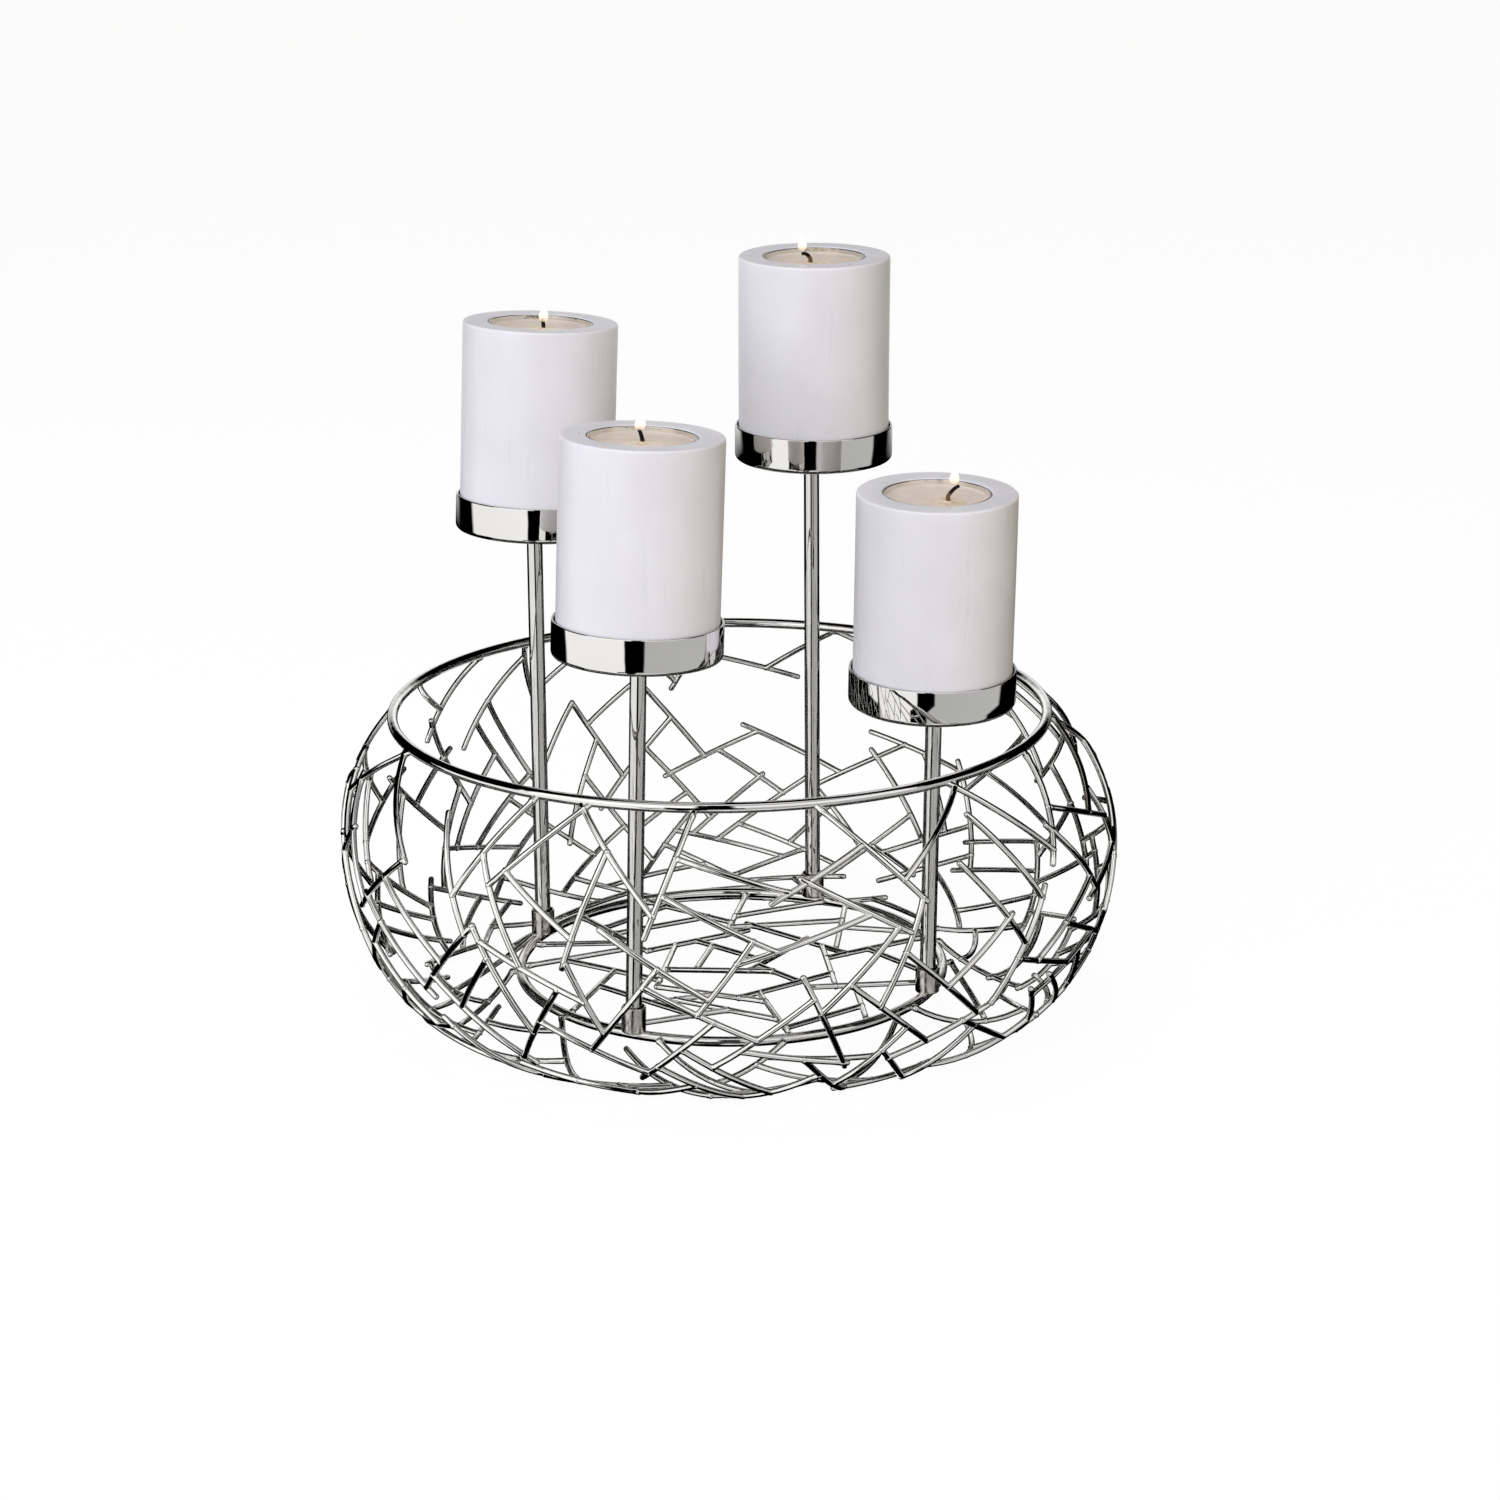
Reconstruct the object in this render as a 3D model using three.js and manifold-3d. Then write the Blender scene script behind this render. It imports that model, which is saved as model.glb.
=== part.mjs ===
// Metal advent wreath for four candles.
// A squat round nest of short welded wires hangs between a rim ring and a base ring.
// Four stems of different heights stand in sockets on the base ring. Each one carries
// a shallow cup, a pillar candle in the cup and a tealight in the top of the candle.
// Millimetres, +Z up. The origin is on the table, in the middle of the wreath's box.
import * as THREE from 'three';
import { mergeVertices } from 'three/addons/utils/BufferGeometryUtils.js';
import Module from 'manifold-3d';

const wasm = await Module();
wasm.setup();

// Clearance between neighbouring pieces
const GAP = 0.3;

// Middle of the wreath's box, measured from the middle of the base ring
const MIDDLE = { x: -0.743, y: -0.005 };

// Rings
const RING_WIRE = 2.0;
const RIM = { radius: 126.2, height: 115.7, shift: -3.8 };
const BASE = { radius: 83.3, height: 10.0 };
const RING_SIDES = 6;
const RING_STEPS = 44;

// Outline of the nest: an ellipse over the widest level, another below it,
// and an arc that rises from the lowest circle to the base ring
const WIDE = { radius: 150.0, height: 67.0 };
const SHOULDER_CENTRE = 80.0;
const LOW = { radius: 108.0, height: 0.85 };

// Short wires
const WIRE = 1.1;
const WIRE_SIDES = 4;
const WIRE_STEPS = 2;
const FLOOR_STEPS = 1;
const SEED = 143;
const WALL_WIRES = 235;
const FLOOR_WIRES = 34;
const WIRE_LENGTH = { shortest: 24, low: 42, high: 50, longest: 52 };
// Some wires run on past the wire they are welded to
const OVERSHOOT = { share: 0.18, low: 2.5, high: 6.0 };
// Slope of a wall wire, in degrees. Wires are less steep low down, and only the lowest
// quarter has level ones. Depths are shares of the way from the rim ring to the base ring
const SLOPE = { least: 12, most: 70, mostLow: 46, easeFrom: 0.45, easeTo: 0.8, levelBelow: 0.75 };
// Wires that aren't welded to each other keep this far apart
const SPACING = 4.6;
// Wires near a joint are let closer, over this length
const JOINT_REACH = 12;
// From a ring's centre line to the end of a wire, and to a wire that passes by
const RING_REACH = 3.4;
const RING_CLEAR = 3.8;
// Least sine of the angle at which a wire meets a ring, and another wire
const LEAST_SINE = { ring: 0.42, wire: 0.5 };

// Search for the next wire
const TRIES = 140;
const MOST_MISSES = 14;
const REACH = 60;
const NEAR = { across: 68, along: 62 };
const TIP = { share: 0.5, turnLow: 40, turnHigh: 140, along: 0.02, room: 6.0, past: 1.5 };
const SPOT_ROOM = 7.5;
const EMPTIEST = 26;
// Worth of the empty room round a wire, more so low on the wall, and of each held end
const WORTH = { empty: 1.4, low: 2.5, held: 5 };

// Forks of two wires that hang from the rim ring, in degrees from the front
const FORK_AZIMUTHS = [-66, -22, 41, 84, 121, 158, 201, 249];
const FORK = { headingLow: 32, headingHigh: 52, lengthLow: 46, lengthHigh: 50 };
// First floor wires, in degrees from an even turn and from the middle
const FIRST_FLOOR = { turn: 20, aside: 35, lengthLow: 44, lengthHigh: 50 };

// Bunches that the wires are welded into
const SECTORS = 12;
const FLOOR_SECTORS = 4;
// The wall is split this far below its widest level
const WALL_SPLIT = 4;
const SORT_PASSES = 12;
// A faceted wire lies this much inside the curved one
const FACET_SAG = 0.2;
// Corners of a bunch closer than this are merged
const MERGE = 0.02;

// Stems, cups and candles. Azimuths run from the front. The lean of a stem and the tip of
// its cup are about X and Y, all in degrees. A lip is a cup's height over the table, and
// aside is how far along X the cup sits off its stem. A wick stands at (x, y) on its
// tealight and bends through its points (x, z)
const HOLDERS = [
  { azimuth: -26.4, lip: 170.2, lean: [-0.96, 1.57], tip: [-0.13, 0.7], aside: -0.5,
    wickAt: [0.1, -1.2], wick: [[-0.5, 2.4], [-1.5, 5.1]] },
  { azimuth: 64.8, lip: 141.7, lean: [0.75, 0.71], tip: [1.36, 0.07], aside: -0.9,
    wickAt: [3.9, -4.5], wick: [[-0.3, 1.6], [0.4, 3.1], [2.1, 5.0], [3.8, 6.0]] },
  { azimuth: 155.9, lip: 211.6, lean: [0.4, -0.14], tip: [0.54, 0.41], aside: 0.8,
    wickAt: [-1.8, -5.0], wick: [[0.1, 1.6], [-0.7, 3.0], [-2.0, 3.9], [-3.4, 3.8]] },
  { azimuth: 246.2, lip: 192.3, lean: [-0.85, 0.08], tip: [-0.77, 2.38], aside: 0.8,
    wickAt: [1.3, -2.6], wick: [[-0.1, 1.9], [-0.5, 3.9]] },
];
const SOCKET = { radius: 4.65, bore: 3.9, bottom: 12.35, floor: 14.0, top: 21.2, sides: 10 };
const STEM = { radius: 3.1, sides: 8 };
const CUP = { radius: 31.5, height: 13.8, wall: 0.9, floor: 1.0, edge: 1.4, sides: 24 };
const CANDLE = { radius: 30.0, height: 80.0, foot: 1.5, edge: 0.9, recess: 20.3, depth: 16.5, sides: 24 };
const TIN = { radius: 19.9, wall: 0.6, height: 15.9, floor: 0.6, sides: 16 };
const FILL = { depth: 12.9, hole: 1.3, holeDepth: 3.0, holeSides: 8 };
const WICK = { radius: 0.8, sides: 4, steps: 6 };
// Room under a tipped cup for each degree of its tip
const CUP_TIP_ROOM = 0.075;

const DEG = Math.PI / 180;
const TURN = 2 * Math.PI;

const METAL = { color: 0xc9c9cb, roughness: 0.12, metalness: 1.0 };
const WAX = { color: 0xe9e8ee, roughness: 0.45, metalness: 0.0 };
const TEALIGHT_WAX = { color: 0xefdcc8, roughness: 0.35, metalness: 0.0 };
const TIN_METAL = { color: 0xb9b2a6, roughness: 0.3, metalness: 1.0 };
const CHARRED = { color: 0x17130f, roughness: 0.9, metalness: 0.0 };

// Repeatable random numbers
function makeDraw(seed) {
  let state = seed;
  return (low, high) => {
    state = (state * 1664525 + 1013904223) % 4294967296;
    return low + (high - low) * (state / 4294967296);
  };
}

function nearTurn(angle) {
  return angle - TURN * Math.floor(angle / TURN + 0.5);
}

// Points of the nest's outline, from the rim ring to the base ring
function makeOutline() {
  const points = [];
  const reach = WIDE.radius - SHOULDER_CENTRE;
  const part = (RIM.radius - SHOULDER_CENTRE) / reach;
  const rise = (RIM.height - WIDE.height) / Math.sqrt(1 - part * part);
  const start = Math.acos(part);
  const upper = 14;
  const lower = 22;
  const inner = 8;
  for (let i = 0; i < upper; i += 1) {
    const turn = start * (1 - i / upper);
    points.push([SHOULDER_CENTRE + reach * Math.cos(turn), WIDE.height + rise * Math.sin(turn)]);
  }
  for (let i = 0; i < lower; i += 1) {
    const turn = Math.PI / 2 * i / lower;
    points.push([LOW.radius + (WIDE.radius - LOW.radius) * Math.cos(turn),
      WIDE.height - (WIDE.height - LOW.height) * Math.sin(turn)]);
  }
  const run = LOW.radius - BASE.radius - RING_REACH;
  const climb = BASE.height - LOW.height;
  const bend = (run * run + climb * climb) / (2 * climb);
  const arc = Math.asin(run / bend);
  for (let i = 0; i <= inner; i += 1) {
    const turn = arc * i / inner;
    points.push([LOW.radius - bend * Math.sin(turn), LOW.height + bend * (1 - Math.cos(turn))]);
  }
  const marks = [0];
  for (let i = 1; i < points.length; i += 1) {
    const step = Math.hypot(points[i][0] - points[i - 1][0], points[i][1] - points[i - 1][1]);
    marks.push(marks[i - 1] + step);
  }
  return { points, marks, widest: marks[upper], end: marks[marks.length - 1] };
}

const OUTLINE = makeOutline();

// Radius and height of the outline at a distance along it from the rim
function outlineAt(along) {
  const s = Math.min(Math.max(along, 0), OUTLINE.end);
  let k = 1;
  while (OUTLINE.marks[k] < s) k += 1;
  const f = (s - OUTLINE.marks[k - 1]) / (OUTLINE.marks[k] - OUTLINE.marks[k - 1]);
  const [r0, z0] = OUTLINE.points[k - 1];
  const [r1, z1] = OUTLINE.points[k];
  return [r0 + f * (r1 - r0), z0 + f * (z1 - z0)];
}

// The rim sits a little to one side, and the wall leans after it
function leanAt(height) {
  return RIM.shift * (Math.max(height, 0) / RIM.height) ** 3;
}

// The wall is rolled out: u is the angle from the front, v the distance from the rim.
// The floor inside the base ring is flat: u and v are its own x and y.
const WALL = {
  scale: (v) => outlineAt(v)[0],
  across: (u) => nearTurn(u),
  place: (u, v) => {
    const [r, z] = outlineAt(v);
    return new THREE.Vector3(r * Math.sin(u) + leanAt(z), -r * Math.cos(u), z);
  },
  draw: (draw) => {
    const u = draw(0, TURN);
    const v = draw(0, OUTLINE.end);
    return draw(0, 1) > outlineAt(v)[0] / WIDE.radius ? null : [u, v];
  },
  margin: (u, v) => Math.min(v - RING_REACH, OUTLINE.end - v),
  depth: (v) => v / OUTLINE.end,
  edge: (u, v, cu, cv) => (cv < 0 ? (RING_REACH - v) / cv : (OUTLINE.end - v) / cv),
  square: (u, v, cu, cv) => Math.abs(cv),
};
const FLOOR_RADIUS = BASE.radius - RING_REACH;
const FLOOR = {
  scale: () => 1,
  across: (u) => u,
  place: (u, v) => new THREE.Vector3(u, v, BASE.height),
  draw: (draw) => {
    const u = draw(-FLOOR_RADIUS, FLOOR_RADIUS);
    const v = draw(-FLOOR_RADIUS, FLOOR_RADIUS);
    return Math.hypot(u, v) > FLOOR_RADIUS ? null : [u, v];
  },
  margin: (u, v) => FLOOR_RADIUS - Math.hypot(u, v),
  depth: () => 0,
  edge: (u, v, cu, cv) => {
    const b = u * cu + v * cv;
    return -b + Math.sqrt(b * b - u * u - v * v + FLOOR_RADIUS * FLOOR_RADIUS);
  },
  square: (u, v, cu, cv) => Math.abs(u * cu + v * cv) / Math.hypot(u, v),
};

function makeWire(chart, from, to, ends, past) {
  const scale = chart.scale((from[1] + to[1]) / 2);
  const length = Math.hypot((to[0] - from[0]) * scale, to[1] - from[1]);
  return { chart, from, to, ends, past, scale, length };
}

function along(wire, f) {
  return [wire.from[0] + f * (wire.to[0] - wire.from[0]), wire.from[1] + f * (wire.to[1] - wire.from[1])];
}

// Distance from a point of the chart to a wire
function distanceTo(wire, u, v) {
  const px = wire.chart.across(u - wire.from[0]) * wire.scale;
  const py = v - wire.from[1];
  const ex = (wire.to[0] - wire.from[0]) * wire.scale;
  const ey = wire.to[1] - wire.from[1];
  const f = Math.min(Math.max((px * ex + py * ey) / (ex * ex + ey * ey), 0), 1);
  return Math.hypot(px - f * ex, py - f * ey);
}

// How far along a heading a wire is crossed, or null
function crossing(wire, u, v, cu, cv, scale) {
  const px = wire.chart.across(wire.from[0] - u) * scale;
  const py = wire.from[1] - v;
  const ex = (wire.to[0] - wire.from[0]) * scale;
  const ey = wire.to[1] - wire.from[1];
  const turn = cu * ey - cv * ex;
  if (Math.abs(turn) < 1e-9) return null;
  const far = (px * ey - py * ex) / turn;
  const part = (px * cv - py * cu) / turn;
  return far > 0 && part > -0.02 && part < 1.02 ? far : null;
}

function sineBetween(wire, cu, cv) {
  const ex = (wire.to[0] - wire.from[0]) * wire.scale;
  const ey = wire.to[1] - wire.from[1];
  return Math.abs(cu * ey - cv * ex) / Math.hypot(ex, ey);
}

// The first thing met along a heading: a wire, the ring at the chart's edge, or nothing
function castRay(chart, near, u, v, cu, cv, scale, reach) {
  let far = reach;
  let met = null;
  const edge = chart.edge(u, v, cu, cv);
  if (edge < far) {
    far = edge;
    met = 'ring';
  }
  for (const wire of near) {
    const hit = crossing(wire, u, v, cu, cv, scale);
    if (hit !== null && hit < far) {
      far = hit;
      met = wire;
    }
  }
  return { far, met };
}

// One wire that could be laid: through a loose tip, or through any empty spot
function proposeWire(chart, wires, tips, draw) {
  let tip = null;
  let spot;
  let heading;
  if (tips.length > 0 && draw(0, 1) < TIP.share) {
    tip = tips[Math.floor(draw(0, tips.length))];
    spot = along(tip.wire, tip.end === 0 ? TIP.along : 1 - TIP.along);
    const other = tip.wire;
    heading = Math.atan2(other.to[1] - other.from[1], (other.to[0] - other.from[0]) * chart.scale(spot[1]));
    heading += draw(TIP.turnLow, TIP.turnHigh) * DEG;
  } else {
    spot = chart.draw(draw);
    heading = draw(-90, 90) * DEG;
    if (spot === null) return null;
  }
  const [u, v] = spot;
  const scale = chart.scale(v);
  const cu = Math.cos(heading);
  const cv = Math.sin(heading);
  if (chart === WALL) {
    const depth = chart.depth(v);
    const ease = Math.min(Math.max((depth - SLOPE.easeFrom) / (SLOPE.easeTo - SLOPE.easeFrom), 0), 1);
    const most = SLOPE.most + ease * (SLOPE.mostLow - SLOPE.most);
    const tooSteep = Math.abs(cv) > Math.sin(most * DEG);
    const tooLevel = Math.abs(cv) < Math.sin(SLOPE.least * DEG) && depth < SLOPE.levelBelow;
    if (tooSteep || tooLevel) return null;
  }
  const near = wires.filter((wire) => {
    const [mu, mv] = along(wire, 0.5);
    return (tip === null || wire !== tip.wire)
      && Math.abs(v - mv) < NEAR.along && Math.abs(chart.across(u - mu)) * scale < NEAR.across;
  });
  let empty = chart.margin(u, v);
  for (const wire of near) empty = Math.min(empty, distanceTo(wire, u, v));
  if (empty < (tip ? TIP.room : SPOT_ROOM)) return null;
  const ahead = castRay(chart, near, u, v, cu, cv, scale, REACH);
  const behind = castRay(chart, near, u, v, -cu, -cv, scale, REACH);
  if (ahead.far + behind.far < WIRE_LENGTH.shortest) return null;
  if (tip && Math.min(ahead.far, behind.far) < TIP.past) return null;
  if (ahead.far + behind.far > WIRE_LENGTH.longest) {
    // Too far to reach both ways, so one end or both stay loose
    const length = draw(WIRE_LENGTH.low, WIRE_LENGTH.high);
    if (ahead.met === null && behind.met === null) {
      if (!tip) return null;
      const share = draw(0.1, 0.9);
      ahead.far = length * share;
      behind.far = length * (1 - share);
    } else {
      const aheadHolds = behind.met === null || (ahead.met !== null && ahead.far < behind.far);
      const held = aheadHolds ? ahead : behind;
      const loose = aheadHolds ? behind : ahead;
      if (held.far > length - 5) return null;
      loose.far = length - held.far;
      loose.met = null;
    }
  }
  const sides = [[behind, -1], [ahead, 1]];
  for (const [side, sign] of sides) {
    side.past = 0;
    if (side.met === 'ring') {
      const eu = u + sign * side.far * cu / scale;
      const ev = v + sign * side.far * cv;
      if (chart.square(eu, ev, cu, cv) < LEAST_SINE.ring) return null;
    } else if (side.met !== null) {
      if (sineBetween(side.met, cu, cv) < LEAST_SINE.wire) return null;
      if (draw(0, 1) < OVERSHOOT.share) side.past = draw(OVERSHOOT.low, OVERSHOOT.high);
    }
  }
  const welded = [ahead.met, behind.met].filter((met) => met !== null && met !== 'ring').length;
  if (!tip && welded === 0) return null;
  const back = behind.far + behind.past;
  const front = ahead.far + ahead.past;
  const whole = back + front;
  const from = [u - back * cu / scale, v - back * cv];
  const to = [u + front * cu / scale, v + front * cv];
  const checks = 14;
  for (let i = 0; i <= checks; i += 1) {
    const f = i / checks;
    const x = f * whole;
    const pu = from[0] + f * (to[0] - from[0]);
    const pv = from[1] + f * (to[1] - from[1]);
    for (const wire of near) {
      const atJoint = (wire === ahead.met && x > front + back - ahead.past - JOINT_REACH)
        || (wire === behind.met && x < behind.past + JOINT_REACH);
      if (!atJoint && distanceTo(wire, pu, pv) < SPACING) return null;
    }
    const atRing = (ahead.met === 'ring' && f > 0.6) || (behind.met === 'ring' && f < 0.4);
    if (!atRing && chart.margin(pu, pv) < RING_CLEAR) return null;
  }
  const held = (ahead.met !== null ? 1 : 0) + (behind.met !== null ? 1 : 0) + (tip ? 1 : 0);
  return {
    score: WORTH.empty * Math.min(empty, EMPTIEST) * (1 + WORTH.low * chart.depth(v)) + WORTH.held * held,
    tip,
    wire: makeWire(chart, from, to, [behind.met, ahead.met], [behind.past, ahead.past]),
  };
}

// Lays wires one after another, each where it closes the emptiest cell of many tries
function layWires(chart, wires, count, draw) {
  let misses = 0;
  while (wires.length < count && misses < MOST_MISSES) {
    const tips = [];
    for (const wire of wires) {
      for (const end of [0, 1]) {
        if (wire.ends[end] === null) tips.push({ wire, end });
      }
    }
    let best = null;
    for (let k = 0; k < TRIES; k += 1) {
      const offer = proposeWire(chart, wires, tips, draw);
      if (offer !== null && (best === null || offer.score > best.score)) best = offer;
    }
    if (best === null) {
      misses += 1;
    } else {
      misses = 0;
      wires.push(best.wire);
      if (best.tip) {
        best.tip.wire.ends[best.tip.end] = best.wire;
        best.tip.wire.past[best.tip.end] = TIP.along * best.tip.wire.length;
      }
    }
  }
  return wires;
}

function layWall(draw) {
  const wires = [];
  for (const azimuth of FORK_AZIMUTHS) {
    for (const side of [-1, 1]) {
      const heading = draw(FORK.headingLow, FORK.headingHigh) * DEG;
      const length = draw(FORK.lengthLow, FORK.lengthHigh);
      const scale = outlineAt(RING_REACH + length / 2)[0];
      const from = [azimuth * DEG, RING_REACH];
      const turn = side * length * Math.cos(heading) / scale;
      const to = [from[0] + turn, RING_REACH + length * Math.sin(heading)];
      wires.push(makeWire(WALL, from, to, ['ring', null], [0, 0]));
    }
  }
  return layWires(WALL, wires, WALL_WIRES, draw);
}

function layFloor(draw) {
  const wires = [];
  for (let k = 0; k < FLOOR_SECTORS; k += 1) {
    const azimuth = k * TURN / FLOOR_SECTORS + draw(-FIRST_FLOOR.turn, FIRST_FLOOR.turn) * DEG;
    const heading = azimuth + Math.PI + draw(-FIRST_FLOOR.aside, FIRST_FLOOR.aside) * DEG;
    const length = draw(FIRST_FLOOR.lengthLow, FIRST_FLOOR.lengthHigh);
    const from = [FLOOR_RADIUS * Math.cos(azimuth), FLOOR_RADIUS * Math.sin(azimuth)];
    const to = [from[0] + length * Math.cos(heading), from[1] + length * Math.sin(heading)];
    wires.push(makeWire(FLOOR, from, to, ['ring', null], [0, 0]));
  }
  return layWires(FLOOR, wires, FLOOR_WIRES, draw);
}

// Puts each wire in the bunch where its middle lies, then moves what is welded
// to nothing there into the neighbouring bunch that it is welded to
function sortIntoBunches(wires, forks, homeOf) {
  const homes = new Map(wires.map((wire) => [wire, homeOf(wire)]));
  const welds = new Map(wires.map((wire) => [wire, []]));
  const weld = (a, b) => {
    welds.get(a).push(b);
    welds.get(b).push(a);
  };
  for (const wire of wires) {
    for (const met of wire.ends) {
      if (met !== null && met !== 'ring') weld(wire, met);
    }
  }
  for (let k = 0; k < forks; k += 1) weld(wires[2 * k], wires[2 * k + 1]);
  for (let pass = 0; pass < SORT_PASSES; pass += 1) {
    const groups = weldedGroups(wires, homes, welds);
    const strays = groups.filter((group) => groups.some(
      (other) => homes.get(other[0]) === homes.get(group[0]) && other.length > group.length,
    ));
    if (strays.length === 0) break;
    for (const stray of strays) {
      const pull = new Map();
      for (const wire of stray) {
        for (const other of welds.get(wire)) {
          const home = homes.get(other);
          if (home !== homes.get(stray[0])) pull.set(home, (pull.get(home) ?? 0) + 1);
        }
      }
      const target = [...pull.entries()].sort((a, b) => b[1] - a[1])[0];
      for (const wire of stray) homes.set(wire, target ? target[0] : null);
    }
  }
  const bunches = new Map();
  for (const group of weldedGroups(wires, homes, welds)) {
    const home = homes.get(group[0]);
    const held = bunches.get(home);
    if (home !== null && (held === undefined || group.length > held.length)) bunches.set(home, group);
  }
  return bunches;
}

function weldedGroups(wires, homes, welds) {
  const seen = new Set();
  const groups = [];
  for (const first of wires) {
    if (seen.has(first)) continue;
    seen.add(first);
    const group = [first];
    for (let i = 0; i < group.length; i += 1) {
      for (const other of welds.get(group[i])) {
        if (!seen.has(other) && homes.get(other) === homes.get(first)) {
          seen.add(other);
          group.push(other);
        }
      }
    }
    groups.push(group);
  }
  return groups;
}

// The stretch of a wire between two fractions of its length, on the nest's surface
class WirePath extends THREE.Curve {
  constructor(wire, start, stop) {
    super();
    this.wire = wire;
    this.start = start;
    this.stop = stop;
  }

  getPoint(t, target = new THREE.Vector3()) {
    const f = this.start + t * (this.stop - this.start);
    return target.copy(this.wire.chart.place(...along(this.wire, f)));
  }
}

function roundOutline(radius, sides) {
  const shape = new THREE.Shape();
  for (let i = 0; i < sides; i += 1) {
    const turn = TURN * i / sides;
    const x = radius * Math.cos(turn);
    const y = radius * Math.sin(turn);
    if (i === 0) shape.moveTo(x, y);
    else shape.lineTo(x, y);
  }
  shape.closePath();
  return shape;
}

function sweep(path, radius, sides, steps) {
  return new THREE.ExtrudeGeometry(roundOutline(radius, sides), {
    steps, bevelEnabled: false, extrudePath: path,
  });
}

function toSolid(geometry) {
  const bare = geometry.clone();
  bare.deleteAttribute('normal');
  bare.deleteAttribute('uv');
  const merged = mergeVertices(bare, 1e-4);
  return new wasm.Manifold(new wasm.Mesh({
    numProp: 3,
    vertProperties: new Float32Array(merged.attributes.position.array),
    triVerts: new Uint32Array(merged.index.array),
  }));
}

function toGeometry(solid) {
  const mesh = solid.getMesh();
  const geometry = new THREE.BufferGeometry();
  geometry.setAttribute('position', new THREE.BufferAttribute(mesh.vertProperties, 3));
  geometry.setIndex(new THREE.BufferAttribute(mesh.triVerts, 1));
  geometry.computeVertexNormals();
  return geometry;
}

// How much a wire is cut back at one end to stay clear of a wire of another bunch
function cutBack(wire, end, bunch) {
  const met = wire.ends[end];
  if (met === null || met === 'ring' || bunch.includes(met)) return 0;
  const cu = (wire.to[0] - wire.from[0]) * wire.scale / wire.length;
  const cv = (wire.to[1] - wire.from[1]) / wire.length;
  const sine = sineBetween(met, cu, cv);
  const cosine = Math.sqrt(1 - sine * sine);
  return wire.past[end] + (WIRE + GAP + FACET_SAG + WIRE * cosine) / sine;
}

// What would lie under the table top is cut off the lowest wires
const UNDER_TABLE = toSolid(new THREE.BoxGeometry(400, 400, 20).translate(0, 0, -10));

function bunchGeometry(bunch, steps) {
  let joined = null;
  for (const wire of bunch) {
    const start = cutBack(wire, 0, bunch) / wire.length;
    const stop = 1 - cutBack(wire, 1, bunch) / wire.length;
    const solid = toSolid(sweep(new WirePath(wire, start, stop), WIRE, WIRE_SIDES, steps));
    joined = joined === null ? solid : joined.add(solid);
  }
  return toGeometry(joined.subtract(UNDER_TABLE).asOriginal().simplify(MERGE));
}

function addPiece(parent, name, geometry, look) {
  const mesh = new THREE.Mesh(geometry, new THREE.MeshStandardMaterial(look));
  mesh.name = name;
  parent.add(mesh);
  return mesh;
}

function addRing(parent, name, radius, height, shift) {
  const geometry = new THREE.TorusGeometry(radius, RING_WIRE, RING_SIDES, RING_STEPS);
  addPiece(parent, name, geometry, METAL).position.set(shift, 0, height);
}

function numbered(name, index) {
  return `${name}_${String(index + 1).padStart(2, '0')}`;
}

function addNest(parent) {
  const draw = makeDraw(SEED);
  const wall = layWall(draw);
  const floor = layFloor(draw);
  const sector = TURN / SECTORS;
  const forkLegs = wall.slice(0, 2 * FORK_AZIMUTHS.length);
  const wallHome = (wire) => {
    const [u, v] = along(wire, forkLegs.includes(wire) ? 0 : 0.5);
    const turn = nearTurn(u - FORK_AZIMUTHS[1] * DEG) / sector;
    const place = (Math.round(turn) + SECTORS) % SECTORS;
    return v < OUTLINE.widest + WALL_SPLIT ? place : SECTORS + place;
  };
  const bunches = sortIntoBunches(wall, FORK_AZIMUTHS.length, wallHome);
  for (let k = 0; k < SECTORS; k += 1) {
    addPiece(parent, numbered('wall_top', k), bunchGeometry(bunches.get(k), WIRE_STEPS), METAL);
    addPiece(parent, numbered('wall_bottom', k), bunchGeometry(bunches.get(SECTORS + k), WIRE_STEPS), METAL);
  }
  const quarter = TURN / FLOOR_SECTORS;
  const floorHome = (wire) => {
    const [u, v] = along(wire, 0.5);
    return (Math.round(Math.atan2(v, u) / quarter) + FLOOR_SECTORS) % FLOOR_SECTORS;
  };
  const mats = sortIntoBunches(floor, 0, floorHome);
  for (let k = 0; k < FLOOR_SECTORS; k += 1) {
    addPiece(parent, numbered('floor', k), bunchGeometry(mats.get(k), FLOOR_STEPS), METAL);
  }
}

// A turned piece: its half outline as [radius, height] pairs, from axis to axis
function turned(outline, sides) {
  const points = outline.map(([r, z]) => new THREE.Vector2(r, z));
  return new THREE.LatheGeometry(points, sides).rotateX(Math.PI / 2);
}

function socketGeometry() {
  const foot = SOCKET.bottom - BASE.height;
  const seat = SOCKET.floor - BASE.height;
  const mouth = SOCKET.top - BASE.height;
  return turned([[0, foot], [SOCKET.radius, foot], [SOCKET.radius, mouth], [SOCKET.bore, mouth],
    [SOCKET.bore, seat], [0, seat]], SOCKET.sides);
}

function stemGeometry(top) {
  const bottom = SOCKET.floor - BASE.height + GAP;
  const height = top - bottom;
  return new THREE.CylinderGeometry(STEM.radius, STEM.radius, height, STEM.sides)
    .rotateX(Math.PI / 2).translate(0, 0, bottom + height / 2);
}

function cupGeometry() {
  const { radius, height, wall, floor, edge, sides } = CUP;
  const inner = radius - wall;
  const bevel = edge - wall;
  return turned([[0, 0], [radius - edge, 0], [radius, edge], [radius, height], [inner, height],
    [inner, floor + bevel], [inner - bevel, floor], [0, floor]], sides);
}

function candleGeometry() {
  const { radius, height, foot, edge, recess, depth, sides } = CANDLE;
  return turned([[0, 0], [radius - foot, 0], [radius, foot], [radius, height - edge], [radius - edge, height],
    [recess, height], [recess, height - depth], [0, height - depth]], sides);
}

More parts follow.
